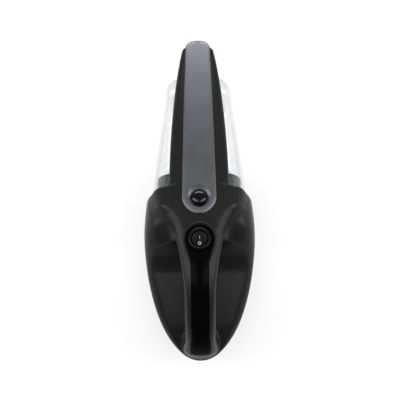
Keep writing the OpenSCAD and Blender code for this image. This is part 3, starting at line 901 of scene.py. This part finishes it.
def build_housing():
    """The right half of the casing: a hollow shell with its recesses, vents and openings cut in."""
    points, quads = surface_net(outer_half, (-8, -177, -2), (63, 168, 120), NET_STEP)
    shell = mesh_object("housing_right_shell", points, quads)
    points, quads = surface_net(inner_half, (-6, -177, -2), (63, 168, 114), NET_STEP * 1.4)
    cavity = mesh_object("cavity", points, quads)
    for y, z in SCREW_SPOTS:
        cut(cavity, rod("boss", (-7, y, z), (60, y, z), 3.9))
    cut(shell, cavity)
    cut(shell, loft("cutter", strip_rings(0.3, 8, -1.5)))
    cut(shell, loft("cutter", inlay_rings(0.15, 6, -1.6)))
    seat = lathe("cutter", [(0, -14), (BEZEL_R + 0.15, -14), (BEZEL_R + 0.15, 6), (0, 6)], 96)
    seat.data.transform(top_matrix(BUTTON_Y))
    cut(shell, seat)
    seat = lathe("cutter", [(0, -20), (SWITCH_R - 1.3, -20), (SWITCH_R - 1.3, 10), (0, 10)], 96)
    seat.data.transform(switch_matrix())
    cut(shell, seat)
    cut(shell, mouth_cutter(0.3, -3.2, 6))
    cut(shell, block("cutter", (-12, -3.2, 25), (12, 6, 38.4), joint_matrix()))
    for x, y in FOOT_SPOTS:
        if x > 0:
            cut(shell, rod("cutter", (x, y, -2), (x, y, 6.5), 6.1, 72))
    cut(shell, rod("cutter", (0, -140, JACK_Z), (0, -178, JACK_Z), 5.15, 72))
    for k in range(VENTS):
        y = VENT_FIRST_Y - VENT_PITCH * k
        cut(shell, slot_cutter((30, y, 16), (70, y + VENT_WIDTH, 31)))
    cut(shell, block("cutter", (-20, -200, -20), (0.06, 200, 140)))
    return shell


def slot_cutter(low, high, steps=10):
    """A slot across X whose ends are round."""
    r = (high[1] - low[1]) / 2
    mid = (high[1] + low[1]) / 2
    ring = []
    for start, z in ((0, high[2] - r), (math.pi, low[2] + r)):
        for k in range(steps + 1):
            a = start + math.pi * k / steps
            ring.append((mid + r * math.cos(a), z + r * math.sin(a)))
    return loft("cutter", [[(x, y, z) for y, z in ring] for x in (low[0], high[0])])


shell_right = build_housing()
shell_left = mirror_x(shell_right, "housing_left_shell")
for y, z in SCREW_SPOTS:
    cut(shell_right, rod("cutter", (9, y, z), (75, y, z), 3.0))
for shell in (shell_right, shell_left):
    for y, z in SCREW_SPOTS:
        cut(shell, rod("cutter", (-18, y, z), (22, y, z), 1.6, 32))
    shade(shell, 40)
    set_field_normals(shell, housing_field)
piece(shell_right, "body", "black_shell", BLACK_SHELL, "housing_right")
piece(shell_left, "body", "black_shell", BLACK_SHELL, "housing_left")


# ---------------------------------------------------------------- plates that follow a curved surface

def plate(name, side, place, drop, low, levels=(0.0, 0.12, 0.35, 0.8, 1.5, 2.4, 3.3, 4.2), across=22):
    """A thin symmetric plate. side lists its right edge as (x, s) from one end on the centre line to the
    other; place gives the point at x, s and a height; drop gives how far the top falls at a distance in
    from the edge; low is the height of the underside."""
    right = np.array(side, float)
    right[0, 0] = right[-1, 0] = 0
    full = np.vstack([right, right[-2:0:-1] * [-1, 1]])
    ahead = np.roll(full, -1, axis=0) - full
    ahead /= np.linalg.norm(ahead, axis=1)[:, None]
    turn = ahead + np.roll(ahead, 1, axis=0)
    turn /= np.linalg.norm(turn, axis=1)[:, None]
    inward = np.stack([-turn[:, 1], turn[:, 0]], axis=1)
    count, n = len(full), len(right)
    points, rings = [], []
    for d in (None, *levels):
        ring = []
        for k in range(count):
            room = max(0.05, abs(full[k, 0]) * 0.94 + 0.9 * min(k % (n - 1), (n - 1) - k % (n - 1)) * 0.02)
            inset = 0.0 if d is None else min(d, room if 0 < k < n - 1 or k > n - 1 else d)
            x, s = full[k] + inward[k] * inset
            height = low if d is None else -drop(d)
            ring.append(len(points))
            points.append(place(x, s, height))
        rings.append(ring)
    faces = [quad for a, b in zip(rings, rings[1:]) for quad in between(a, b)]
    for ring, height, flip in ((rings[-1], -drop(levels[-1]), False), (rings[0], low, True)):
        rows = []
        for k in range(n):
            if k in (0, n - 1):
                rows.append([ring[k]])
                continue
            start, end = points[ring[k]][0], points[ring[count - k]][0]
            row = [ring[k]]
            s = right[k, 1]
            if not flip:
                s = (full[k] + inward[k] * min(levels[-1], abs(full[k, 0]) * 0.94))[1]
            for j in range(1, across):
                row.append(len(points))
                points.append(place(start + (end - start) * j / across, s, height))
            row.append(ring[count - k])
            rows.append(row)
        for a, b in zip(rows, rows[1:]):
            for j in range(across):
                if len(a) == 1:
                    quad = (a[0], b[j + 1], b[j])
                elif len(b) == 1:
                    quad = (a[j], a[j + 1], b[0])
                else:
                    quad = (a[j], a[j + 1], b[j + 1], b[j])
                faces.append(quad[::-1] if flip else quad)
    return face_out(mesh_object(name, points, faces))


# ---------------------------------------------------------------- strip

def strip_side():
    """The strip's right edge as (x, y), from its rear to its nose."""
    rear = STRIP_TURN - STRIP_HALF_W - 0.1
    stops = strip_stops(np.linspace(0.5, 88, 30), 74, 1.5, np.linspace(4, 89, 22))
    edge = [(0.0, max(rear, STRIP_LOW[1]))]
    edge += [(strip_half(y), y) for y in stops]
    return edge + [(0.0, STRIP_END)]


def strip_place(x, y, height):
    return x, y, float(crown(y, x)) + 0.58 + height


def strip_drop(d):
    """A flat bevel along the edge and a small round on its rim."""
    return 0.72 * max(0.0, 1 - d / 2.7) ** 1.15 + 0.3 * max(0.0, 1 - d / 0.4) ** 2


strip = plate("strip", strip_side(), strip_place, strip_drop, -1.98)
DISH = ((12.3, 4.5, 1.0), (11.75, 4.3, 0.3), (11.3, 4.1, -0.05), (9.4, 2.75, -1.15), (9.05, 2.5, -1.5),
        (9.05, 2.5, -4.0))
TURN = [2 * math.pi * k / 96 for k in range(96)]
cutter = loft("cutter", [[(r * math.cos(a), y - BUTTON_Y + r * math.sin(a), z) for a in TURN]
                         for r, y, z in DISH])
cutter.data.transform(top_matrix(BUTTON_Y))
cut(strip, cutter)
shade(strip, 28)
piece(strip, "body", "strip_grey", STRIP_GREY, "top_strip")

bezel = lathe("button_bezel_ring", round_profile(
    [(2.2, -7.9), (2.2, -7.0), (7.25, -7.0), (7.25, -0.9), (7.7, -0.45), (8.5, -0.4), (9.0, -0.95),
     (9.0, -7.9), (2.2, -7.9)], 0.25, 4), 112, top_matrix(BUTTON_Y))
shade(bezel, 30)
piece(bezel, "body", "button_black", BUTTON_BLACK, "button_bezel")

CAP_R = 6.6
cap_profile = [(0, -11.2), (2.0, -11.2), (2.0, -3.2), (6.9, -3.2), (6.9, 0.1), (6.82, 0.32), (CAP_R, 0.55)]
cap_profile += [(r, 0.55 + 1.2 * (1 - (r / CAP_R) ** 4)) for r in (6.3, 5.9, 5.4, 4.8, 4.1, 3.2, 2.0, 0.9)]
cap_profile += [(0, 1.75)]
cap = lathe("release_cap", cap_profile, 112, top_matrix(BUTTON_Y))
shade(cap, 35)
piece(cap, "button", "button_black", BUTTON_BLACK, "release_button")


# ---------------------------------------------------------------- handle inlay and switch

INLAY_T = np.linspace(0, len(GRIP_PATH) - 1, 801)
INLAY_C = grip_at(INLAY_T)
INLAY_D = grip_dir(INLAY_T)
SKIN = INLAY_C + GRIP_HALF_T * np.stack([INLAY_D[:, 1], -INLAY_D[:, 0]], axis=1)
SKIN_S = np.concatenate([[0], np.cumsum(np.linalg.norm(np.diff(SKIN, axis=0), axis=1))])


def t_of(s):
    """The place on the handle's path at a length s along its outer surface."""
    return float(np.interp(s, SKIN_S, INLAY_T))


def s_of(t):
    return float(np.interp(t, INLAY_T, SKIN_S))


SWITCH_S = s_of(SWITCH_T)


def inlay_place(x, s, height):
    """The point of the inlay at x across, s along and a height over its top."""
    t = t_of(s)
    return grip_point(t, x, grip_skin(t, x) + 0.36 + height)


def inlay_width(s):
    """Half-width of the inlay's band at a length s along the handle's surface."""
    return inlay_band(float(np.interp(s, SKIN_S, SKIN[:, 0])))


def inlay_side():
    """The inlay's right edge as (x, s): a round head, the long side and a rounded corner at the tail."""
    edge = [(0.0, SWITCH_S - INLAY_HEAD)]
    for a in np.radians(np.linspace(3, 88, 30)):
        edge.append((INLAY_HEAD * math.sin(a), SWITCH_S - INLAY_HEAD * math.cos(a)))
    end = s_of(INLAY_BACK)
    corner = end - INLAY_CORNER
    edge += [(inlay_width(s), s) for s in np.linspace(SWITCH_S + 0.8, corner, 90)]
    tip = inlay_width(end) - INLAY_CORNER
    for a in np.radians(np.linspace(15, 90, 6)):
        edge.append((tip + INLAY_CORNER * math.cos(a), corner + INLAY_CORNER * math.sin(a)))
    return edge + [(0.0, end)]


def inlay_drop(d):
    return 0.5 * max(0.0, 1 - d / 1.6) ** 2


inlay = plate("handle_inlay_panel", inlay_side(), inlay_place, inlay_drop, -1.75,
              (0.0, 0.1, 0.3, 0.7, 1.2, 1.8), 18)
cut(inlay, lathe("cutter", [(0, -10), (SWITCH_R + 0.1, -10), (SWITCH_R + 0.1, 10), (0, 10)], 112,
                 switch_matrix()))
shade(inlay, 30)
piece(inlay, "body", "gloss_black", GLOSS_BLACK, "handle_inlay")

RIM_R = 16.7
RIM_REACH = 34.0
RIM_HALF = 1.25


def rim_line():
    """The raised rim's centre line as (x, s): round the head, then along both sides of the handle."""
    side = [(RIM_R - 2.2 * float(smooth((s - SWITCH_S) / RIM_REACH)), s)
            for s in np.linspace(SWITCH_S, SWITCH_S + RIM_REACH, 26)[1:]]
    head = [(RIM_R * math.sin(a), SWITCH_S - RIM_R * math.cos(a))
            for a in np.radians(np.linspace(-90, 90, 61))]
    return np.array([(-x, s) for x, s in side[::-1]] + head + side)


def build_rim():
    """A low ridge along the rim's line that fades into the handle at both ends."""
    line = rim_line()
    ahead = np.gradient(line, axis=0)
    ahead /= np.linalg.norm(ahead, axis=1)[:, None]
    side = np.stack([ahead[:, 1], -ahead[:, 0]], axis=1)
    offsets = np.linspace(-RIM_HALF, RIM_HALF, 11)
    rings = []
    for k in range(len(line)):
        fade = min(1.0, 0.04 + min(k, len(line) - 1 - k) / 22)
        ring = []
        for o in offsets:
            x, s = line[k] + side[k] * o
            t = t_of(s)
            rise = 0.55 * fade * (1 - (o / RIM_HALF) ** 2) ** 0.8 - 0.06
            ring.append(grip_point(t, x, grip_skin(t, x) + rise))
        for o in offsets[::-1]:
            x, s = line[k] + side[k] * o * 0.98
            t = t_of(s)
            ring.append(grip_point(t, x, grip_skin(t, x) - 0.5))
        rings.append(ring)
    return loft("handle_rim", rings)


rim = build_rim()
shade(rim, 40)
piece(rim, "body", "black_shell", BLACK_SHELL)

switch_shell = lathe("switch_bezel", round_profile(
    [(0, -7.0), (8.35, -7.0), (8.35, 1.0), (9.0, 1.9), (9.8, 2.1), (10.9, 1.75), (11.45, 0.95), (11.45, 0.35),
     (10.0, 0.35), (10.0, -14.0), (0, -14.0)], 0.25, 4), 128, switch_matrix())
for x in (-3, 3):
    tab = block("tab", (x - 0.4, -2.4, -19), (x + 0.4, 2.4, -13.5), switch_matrix())
    cut(switch_shell, tab, "UNION")
shade(switch_shell, 32)
piece(switch_shell, "body", "gloss_black", SWITCH_BLACK, "switch_body")

ROCKER_AXIS = -2.5
ROCKER_TIP = 7.0


def rocker_matrix():
    """The tipped rocker's own frame, with its pin along X."""
    return (switch_matrix() @ Matrix.Translation((0, 0, ROCKER_AXIS * MM))
            @ Matrix.Rotation(math.radians(ROCKER_TIP), 4, "X"))


def rocker_top(y):
    """Height of the rocker's hollow top over its pin."""
    return 41.9 - math.sqrt(37 ** 2 - y ** 2)


def build_rocker():
    r = ROCKER_R - 0.55
    body = lathe("rocker", [(0, -2.6), (r, -2.6), (r, 9), (0, 9)], 128)
    curve = [-10 + 20 * k / 64 for k in range(65)]
    lid = [[(x, y, rocker_top(y)) for y in curve] + [(x, 10, 20), (x, -10, 20)] for x in (-12, 12)]
    cut(body, loft("cutter", lid))
    bevel(body, 0.3, 4, 50)
    cut(body, rod("pin", (-9.4, 0, 0), (9.4, 0, 0), 1.2, 48), "UNION")
    return body


MARK_SUNK = -0.2
MARK_PROUD = 0.03


def mark_bar():
    """The mark for on, a bar printed over the rocker's top."""
    rings = []
    for k in range(9):
        y = -0.3 + 3.2 * k / 8
        low, high = rocker_top(y) + MARK_SUNK, rocker_top(y) + MARK_PROUD
        rings.append([(-0.27, y, low), (0.27, y, low), (0.27, y, high), (-0.27, y, high)])
    return loft("switch_mark_on", rings)


def mark_ring():
    """The mark for off, a ring printed over the rocker's top."""
    rings = []
    for k in range(64):
        a = 2 * math.pi * k / 64
        ring = []
        for r, up in ((1.05, MARK_SUNK), (1.05, MARK_PROUD), (1.75, MARK_PROUD), (1.75, MARK_SUNK)):
            y = -4.5 + r * math.sin(a)
            ring.append((r * math.cos(a), y, rocker_top(y) + up))
        rings.append(ring)
    return loop("switch_mark_off", rings)


rocker = build_rocker()
rocker.data.transform(rocker_matrix())
shade(rocker, 30)
piece(rocker, "rocker", "gloss_black", SWITCH_BLACK, "switch_rocker")
for mark in (mark_bar(), mark_ring()):
    mark.data.transform(rocker_matrix())
    shade(mark, 30)
    piece(mark, "rocker", "gloss_black", MARK_WHITE)


# ---------------------------------------------------------------- dust bowl

# SETTLE counts the steps that find where the wall meets a plane. The slanted rings at the rim turn into
# flat ones at RIM_BLEND, and into those along the mouth from MOUTH_BLEND.
BOWL_POINTS = 128
SETTLE = 24
RIM_BLEND = 34.0
MOUTH_BLEND = 136.0


def bowl_point(y, a, inset):
    """A point of the bowl's wall, where the round section is cut flat under the spine."""
    low = bowl_bottom(y) + inset
    lid = float(under_line(y)) - BOWL_GAP
    full = lid + 4 - inset
    mid = (low + full) / 2
    n = 2.4 + 1.8 * float(smooth((y - 90) / 40))
    x, z = oval(bowl_half(y) - inset, full - mid, mid - low, n, a)
    top = lid - inset
    z = mid + z
    over = z - top
    soft = 1.2
    z = top - soft / 4 if over > soft else (z if over < -soft else z - (over + soft) ** 2 / (4 * soft))
    return x, y, min(z, top)


def bowl_at_joint(v, a, inset):
    """Where the bowl's wall, at the angle a, meets the plane at v along the slide."""
    y = 0.0
    for _ in range(SETTLE):
        z = bowl_point(y, a, inset)[2]
        y = 0.5 * y + 0.5 * (v + (z - JOINT_Z) * math.sin(SLANT)) / math.cos(SLANT)
    return y


def bowl_at_mouth(a, inset, back=0.0):
    """Where the bowl's wall, at the angle a, meets the slanted plane of the nozzle's mouth."""
    y = NOZZLE_TIP[0] - 6
    for _ in range(SETTLE):
        z = bowl_point(y, a, inset)[2]
        y = 0.5 * y + 0.5 * (NOZZLE_TIP[0] - back + (z - NOZZLE_TIP[1]) * math.tan(NOZZLE_CUT))
    return y


BOWL_ANGLES = [2 * math.pi * (k + 0.5) / BOWL_POINTS for k in range(BOWL_POINTS)]


def bowl_ring(kind, value, inset, shift=0.0):
    """A ring of the wall: blended from the rim, blended into the mouth, or flat across at one y."""
    ring = []
    for a in BOWL_ANGLES:
        if kind == "rim":
            start = bowl_at_joint(1.5 + shift, a, inset)
            y = start * (1 - value) + RIM_BLEND * value
        elif kind == "mouth":
            end = bowl_at_mouth(a, inset, shift)
            y = MOUTH_BLEND * (1 - value) + end * value
        else:
            y = value
        ring.append(bowl_point(y, a, inset))
    return ring


def bowl_side(inset):
    rings = [bowl_ring("rim", w, inset) for w in (0.02, 0.1, 0.3, 0.55, 0.8, 1.0)]
    stops = list(np.linspace(42, 106, 12)) + list(range(109, 124, 2))
    stops += [124.5, 126, 127.2, 128.2, 129, 129.6, 130.2, 132, 136]
    rings += [bowl_ring("flat", y, inset) for y in stops]
    rings += [bowl_ring("mouth", w, inset) for w in (0.3, 0.6, 0.9, 0.98)]
    return rings


def build_bowl():
    """A thin open shell with soft edges, and the tab that the latch holds."""
    edge = 0.35
    rings = [bowl_ring("rim", 0, edge)] + bowl_side(0.02)
    rings += [bowl_ring("mouth", 1, edge), bowl_ring("mouth", 1, BOWL_WALL - edge)]
    rings += bowl_side(BOWL_WALL)[::-1] + [bowl_ring("rim", 0, BOWL_WALL - edge)]
    obj = loop("dust_bowl_shell", rings)
    tab = block("tab", (-10, -9, 36), (10, 6.8, 38), joint_matrix())
    cut(tab, block("window", (-5, -8, 34), (5, -3, 40), joint_matrix()))
    bevel(tab, 0.35, 3)
    cut(obj, tab, "UNION")
    return obj


bowl = build_bowl()
shade(bowl, 35)
piece(bowl, "bowl", "clear_plastic", CLEAR, "dust_bowl")


GASKET_SECTION = ((0.25, 0.5), (0.5, 0.32), (1.1, 0.32), (1.38, 0.5), (1.38, 1.2), (1.15, 1.6),
                  (1.38, 2.0), (1.38, 2.9), (1.1, 3.15), (0.5, 3.15), (0.25, 2.9))


def build_gasket():
    """A rubber ring with a shallow groove, along the bowl's rim."""
    obj = loop("rim_gasket", [[bowl_point(bowl_at_joint(v, a, inset), a, inset) for a in BOWL_ANGLES]
                              for v, inset in GASKET_SECTION])
    cut(obj, block("cutter", (-10.2, -9, 35.9), (10.2, 7, 40), joint_matrix()))
    return obj


gasket = build_gasket()
shade(gasket, 40)
piece(gasket, "bowl", "rubber", RUBBER, "bowl_gasket")


# ---------------------------------------------------------------- nozzle sleeve and flap

def nozzle_matrix():
    """The sleeve's own frame, with its axis along Y and tipped 8 degrees down."""
    return Matrix.Translation((0, 150 * MM, 25.4 * MM)) @ Matrix.Rotation(math.radians(-8), 4, "X")


# Turns a lathe's axis from +Z to -Y.
AXIS_Y = Matrix.Rotation(math.radians(90), 4, "X")
FLAP_Y = -21.8
FLAP_Z = 13.4

sleeve = lathe("nozzle_sleeve", round_profile(
    [(11.3, 0.02), (12.15, 0.9), (12.15, 19.2), (11.6, 19.95), (10.9, 19.95), (10.65, 19.4), (10.65, 0.7),
     (11.3, 0.02)], 0.2, 3), 112, AXIS_Y)
for side in (-1, 1):
    x = side * 9.8
    lug = block("lug", (x - 1.25, -20, 7.05), (x + 1.25, -14, 15.3))
    cut(lug, block("lug2", (x - 1.25, -24, 10.95), (x + 1.25, -19, 15.3)), "UNION")
    bevel(lug, 0.4, 3)
    cut(sleeve, lug, "UNION")
cut(sleeve, rod("cutter", (0, 1, 0), (0, -22, 0), 10.62, 112))
cut(sleeve, rod("cutter", (-15, FLAP_Y, FLAP_Z), (15, FLAP_Y, FLAP_Z), 1.0))
sleeve.data.transform(nozzle_matrix())
shade(sleeve, 32)
piece(sleeve, "bowl", "inner_black", INNER_BLACK, "accessory_sleeve")

FLAP_NEAR = 20.22
FLAP_FAR = 21.28
flap = lathe("flap_disc", round_profile(
    [(0, FLAP_NEAR), (11.55, FLAP_NEAR), (11.55, FLAP_FAR), (0, FLAP_FAR)], 0.3, 4), 112, AXIS_Y)
cut(flap, block("arm", (-4.95, -FLAP_FAR, 7.5), (4.95, -FLAP_NEAR, 12.9)), "UNION")
cut(flap, rod("barrel", (-4.95, FLAP_Y, FLAP_Z), (4.95, FLAP_Y, FLAP_Z), 1.88), "UNION")
cut(flap, rod("cutter", (-8, FLAP_Y, FLAP_Z), (8, FLAP_Y, FLAP_Z), 1.05))
flap.data.transform(nozzle_matrix())
shade(flap, 32)
piece(flap, "flap", "rubber", RUBBER, "flap_valve")


# ---------------------------------------------------------------- filter

# Each outline in the joint plane: its two half sizes, its middle over the slide's line and its squareness.
RING = ((44.3, 32.5), -2.4, 2.4)
MOUTH = (MOUTH_HALF, MOUTH_MID, 2.4)
CUP = ((31.6, 28.0), -2.5, 2.3)


def plane_point(outline, inset, v, a):
    """A point of an outline at the angle a, set in from it, at v along the slide."""
    half, mid, n = outline
    x, u = oval(half[0] - inset, half[1] - inset, half[1] - inset, n, a)
    return x, v, mid + u


def build_frame():
    """The filter's frame: a deep ring with a groove, and a flange that fills the mouth round the cup."""
    rows = [(RING, inset, v) for inset, v in
            ((0.02, -0.12), (0.02, 8), (0.02, 19.4), (0.25, 19.7), (0.25, 20.2), (0.02, 20.5), (0.05, 21.2),
             (0.35, 21.75), (0.9, 21.97), (1.5, 21.97), (2.05, 21.75), (2.35, 21.2), (2.4, 8), (2.4, 0.5),
             (2.9, 0.02))]
    rows += [(CUP, -0.3, v) for v in (0.02, -1.98)]
    rows += [(MOUTH, inset, v) for inset, v in ((0.2, -1.98), (0.02, -1.8), (0.02, -0.3), (0.2, -0.12))]
    turn = [2 * math.pi * (k + 0.5) / 160 for k in range(160)]
    obj = loop("filter_ring", [[plane_point(*row, a) for a in turn] for row in rows])
    obj.data.transform(joint_matrix())
    return obj


filter_ring = build_frame()
shade(filter_ring, 38)
piece(filter_ring, "body", "dark_grey", DARK_GREY, "filter_frame")


def build_cup():
    """A pleated filter cup with a smooth band at each end."""
    pleats = 44
    turn = [2 * math.pi * k / (8 * pleats) for k in range(8 * pleats)]
    rings = []
    stops = [(-1.85, 0.3, 0), (-1.5, 0.02, 0), (1.5, 0.02, 0), (2.6, 0.1, 0.25), (4.5, 0.1, 1)]
    stops += [(v, 0.1, 1) for v in np.linspace(7, 28, 10)]
    stops += [(30, 0.1, 1), (31.2, 0.1, 0.25), (31.8, 0.02, 0), (32.6, 0.02, 0), (33.2, 0.5, 0),
              (33.5, 1.2, 0)]
    for v, inset, depth in stops:
        rings.append([plane_point(CUP, inset + 1.5 * depth * (0.5 - 0.5 * math.cos(pleats * a)), v, a)
                      for a in turn])
    for v, inset in ((33.55, 3.0), (34.3, 3.6), (34.48, 4.4), (34.48, 9), (34.35, 16), (34.3, 22),
                     (34.3, 26.5)):
        rings.append([plane_point(CUP, inset, v, a) for a in turn])
    obj = loft("filter_pleats", rings)
    obj.data.transform(joint_matrix())
    return obj


cup = build_cup()
shade(cup, 40)
piece(cup, "body", "filter_cloth", FILTER_CLOTH, "filter_cup")


# ---------------------------------------------------------------- feet, jack and screws

for index, (x, y) in enumerate(FOOT_SPOTS):
    foot = lathe(f"foot_{index}", round_profile(
        [(0, 0.35), (3.4, 0.35), (3.7, 0.0), (5.2, 0.0), (5.95, 0.75), (5.95, 6.25), (0, 6.25)], 0.3, 4), 96)
    foot.data.transform(Matrix.Translation((x * MM, y * MM, 0)))
    shade(foot, 35)
    piece(foot, "body", "rubber", RUBBER, *(["feet"] if index == 0 else []))

jack_at = Matrix.Translation((0, -168.4 * MM, JACK_Z * MM)) @ Matrix.Rotation(math.radians(-90), 4, "X")
jack = lathe("jack_shell", round_profile(
    [(0, 9.95), (2.8, 9.95), (2.8, 0.6), (3.3, 0.02), (4.5, 0.02), (4.98, 0.5), (4.98, 13.95), (0, 13.95)],
    0.2, 3), 96, jack_at)
cut(jack, lathe("pin", [(0, 13), (1.0, 13), (1.0, 1.7), (0.6, 1.25), (0, 1.22)], 48, jack_at), "UNION")
shade(jack, 32)
piece(jack, "body", "inner_black", INNER_BLACK, "charge_jack")

for index, (y, z) in enumerate(SCREW_SPOTS):
    screw = lathe(f"screw_{index}", round_profile(
        [(0, -11.95), (0.7, -11.95), (1.48, -10.6), (1.48, 9.12), (2.68, 9.12), (2.66, 10.1), (2.0, 10.9),
         (0, 11.05)], 0.25, 3), 64)
    for low, high in (((-1.7, -0.3, 10.1), (1.7, 0.3, 12)), ((-0.3, -1.7, 10.1), (0.3, 1.7, 12))):
        cut(screw, block("cutter", low, high))
    screw.data.transform(Matrix.Translation((0, y * MM, z * MM)) @ Matrix.Rotation(math.radians(90), 4, "Y"))
    shade(screw, 30)
    piece(screw, "body", "steel", STEEL, *(["housing_screws"] if index == 0 else []))


# ---------------------------------------------------------------- CAD nodes that show as they are

CARRIED = {"button_spring": STEEL, "latch_lever": ACETAL, "latch_pin": STEEL, "flap_pin": STEEL,
           "motor_bulkhead": INNER_BLACK, "fan_shroud": INNER_BLACK, "impeller": NYLON, "motor_shaft": STEEL,
           "motor": MOTOR_CAN, "motor_ring": RUBBER, "motor_cradle": INNER_BLACK, "battery_cells": CELL_WRAP,
           "battery_tray": INNER_BLACK, "control_board": BOARD_GREEN}
for node_name, finish in CARRIED.items():
    for material_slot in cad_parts[node_name].material_slots:
        material_slot.material = finish


# ---------------------------------------------------------------- stage, light and camera

def area_light(name, place, target, size_x, size_y, power):
    data = bpy.data.lights.new(name, "AREA")
    data.shape = "RECTANGLE"
    data.size = size_x
    data.size_y = size_y
    data.energy = power
    data.spread = math.radians(180)
    obj = link(bpy.data.objects.new(name, data))
    obj.location = place
    aim = Vector(target) - Vector(place)
    obj.rotation_euler = aim.to_track_quat("-Z", "Y").to_euler()
    return obj


camera_data = bpy.data.cameras.new("camera")
camera_data.lens = 101.7
camera_data.sensor_width = 36
camera = link(bpy.data.objects.new("camera", camera_data))
camera.location = (0.0008, 0.0, 1.245)
camera.rotation_euler = (0.0, 0.0, math.radians(-0.6))
bpy.context.scene.camera = camera

bm = bmesh.new()
bmesh.ops.create_grid(bm, x_segments=8, y_segments=8, size=3)
floor_mesh = bpy.data.meshes.new("floor")
bm.to_mesh(floor_mesh)
bm.free()
floor = link(bpy.data.objects.new("floor", floor_mesh))
floor_mat, _, floor_node = new_material("floor_paper", (0.22, 0.22, 0.22), 0.9)
floor_node.inputs["Emission Color"].default_value = (1, 1, 1, 1)
floor_node.inputs["Emission Strength"].default_value = 0.66
floor_mesh.materials.append(floor_mat)

world = bpy.data.worlds.new("studio")
world.use_nodes = True
world.node_tree.nodes["Background"].inputs["Color"].default_value = (1, 1, 1, 1)
world.node_tree.nodes["Background"].inputs["Strength"].default_value = 0.2
bpy.context.scene.world = world
bpy.context.scene.view_settings.view_transform = "Standard"

for side, name in ((-1, "left"), (1, "right")):
    area_light("box_" + name, (side * 1.149, 0.1, 1.044), (0, 0.1, 0.08), 0.52, 2.8, 36)
area_light("box_front", (0, 1.5, 0.5), (0, 0.1, 0.05), 1.6, 0.5, 38)

bpy.context.view_layer.update()
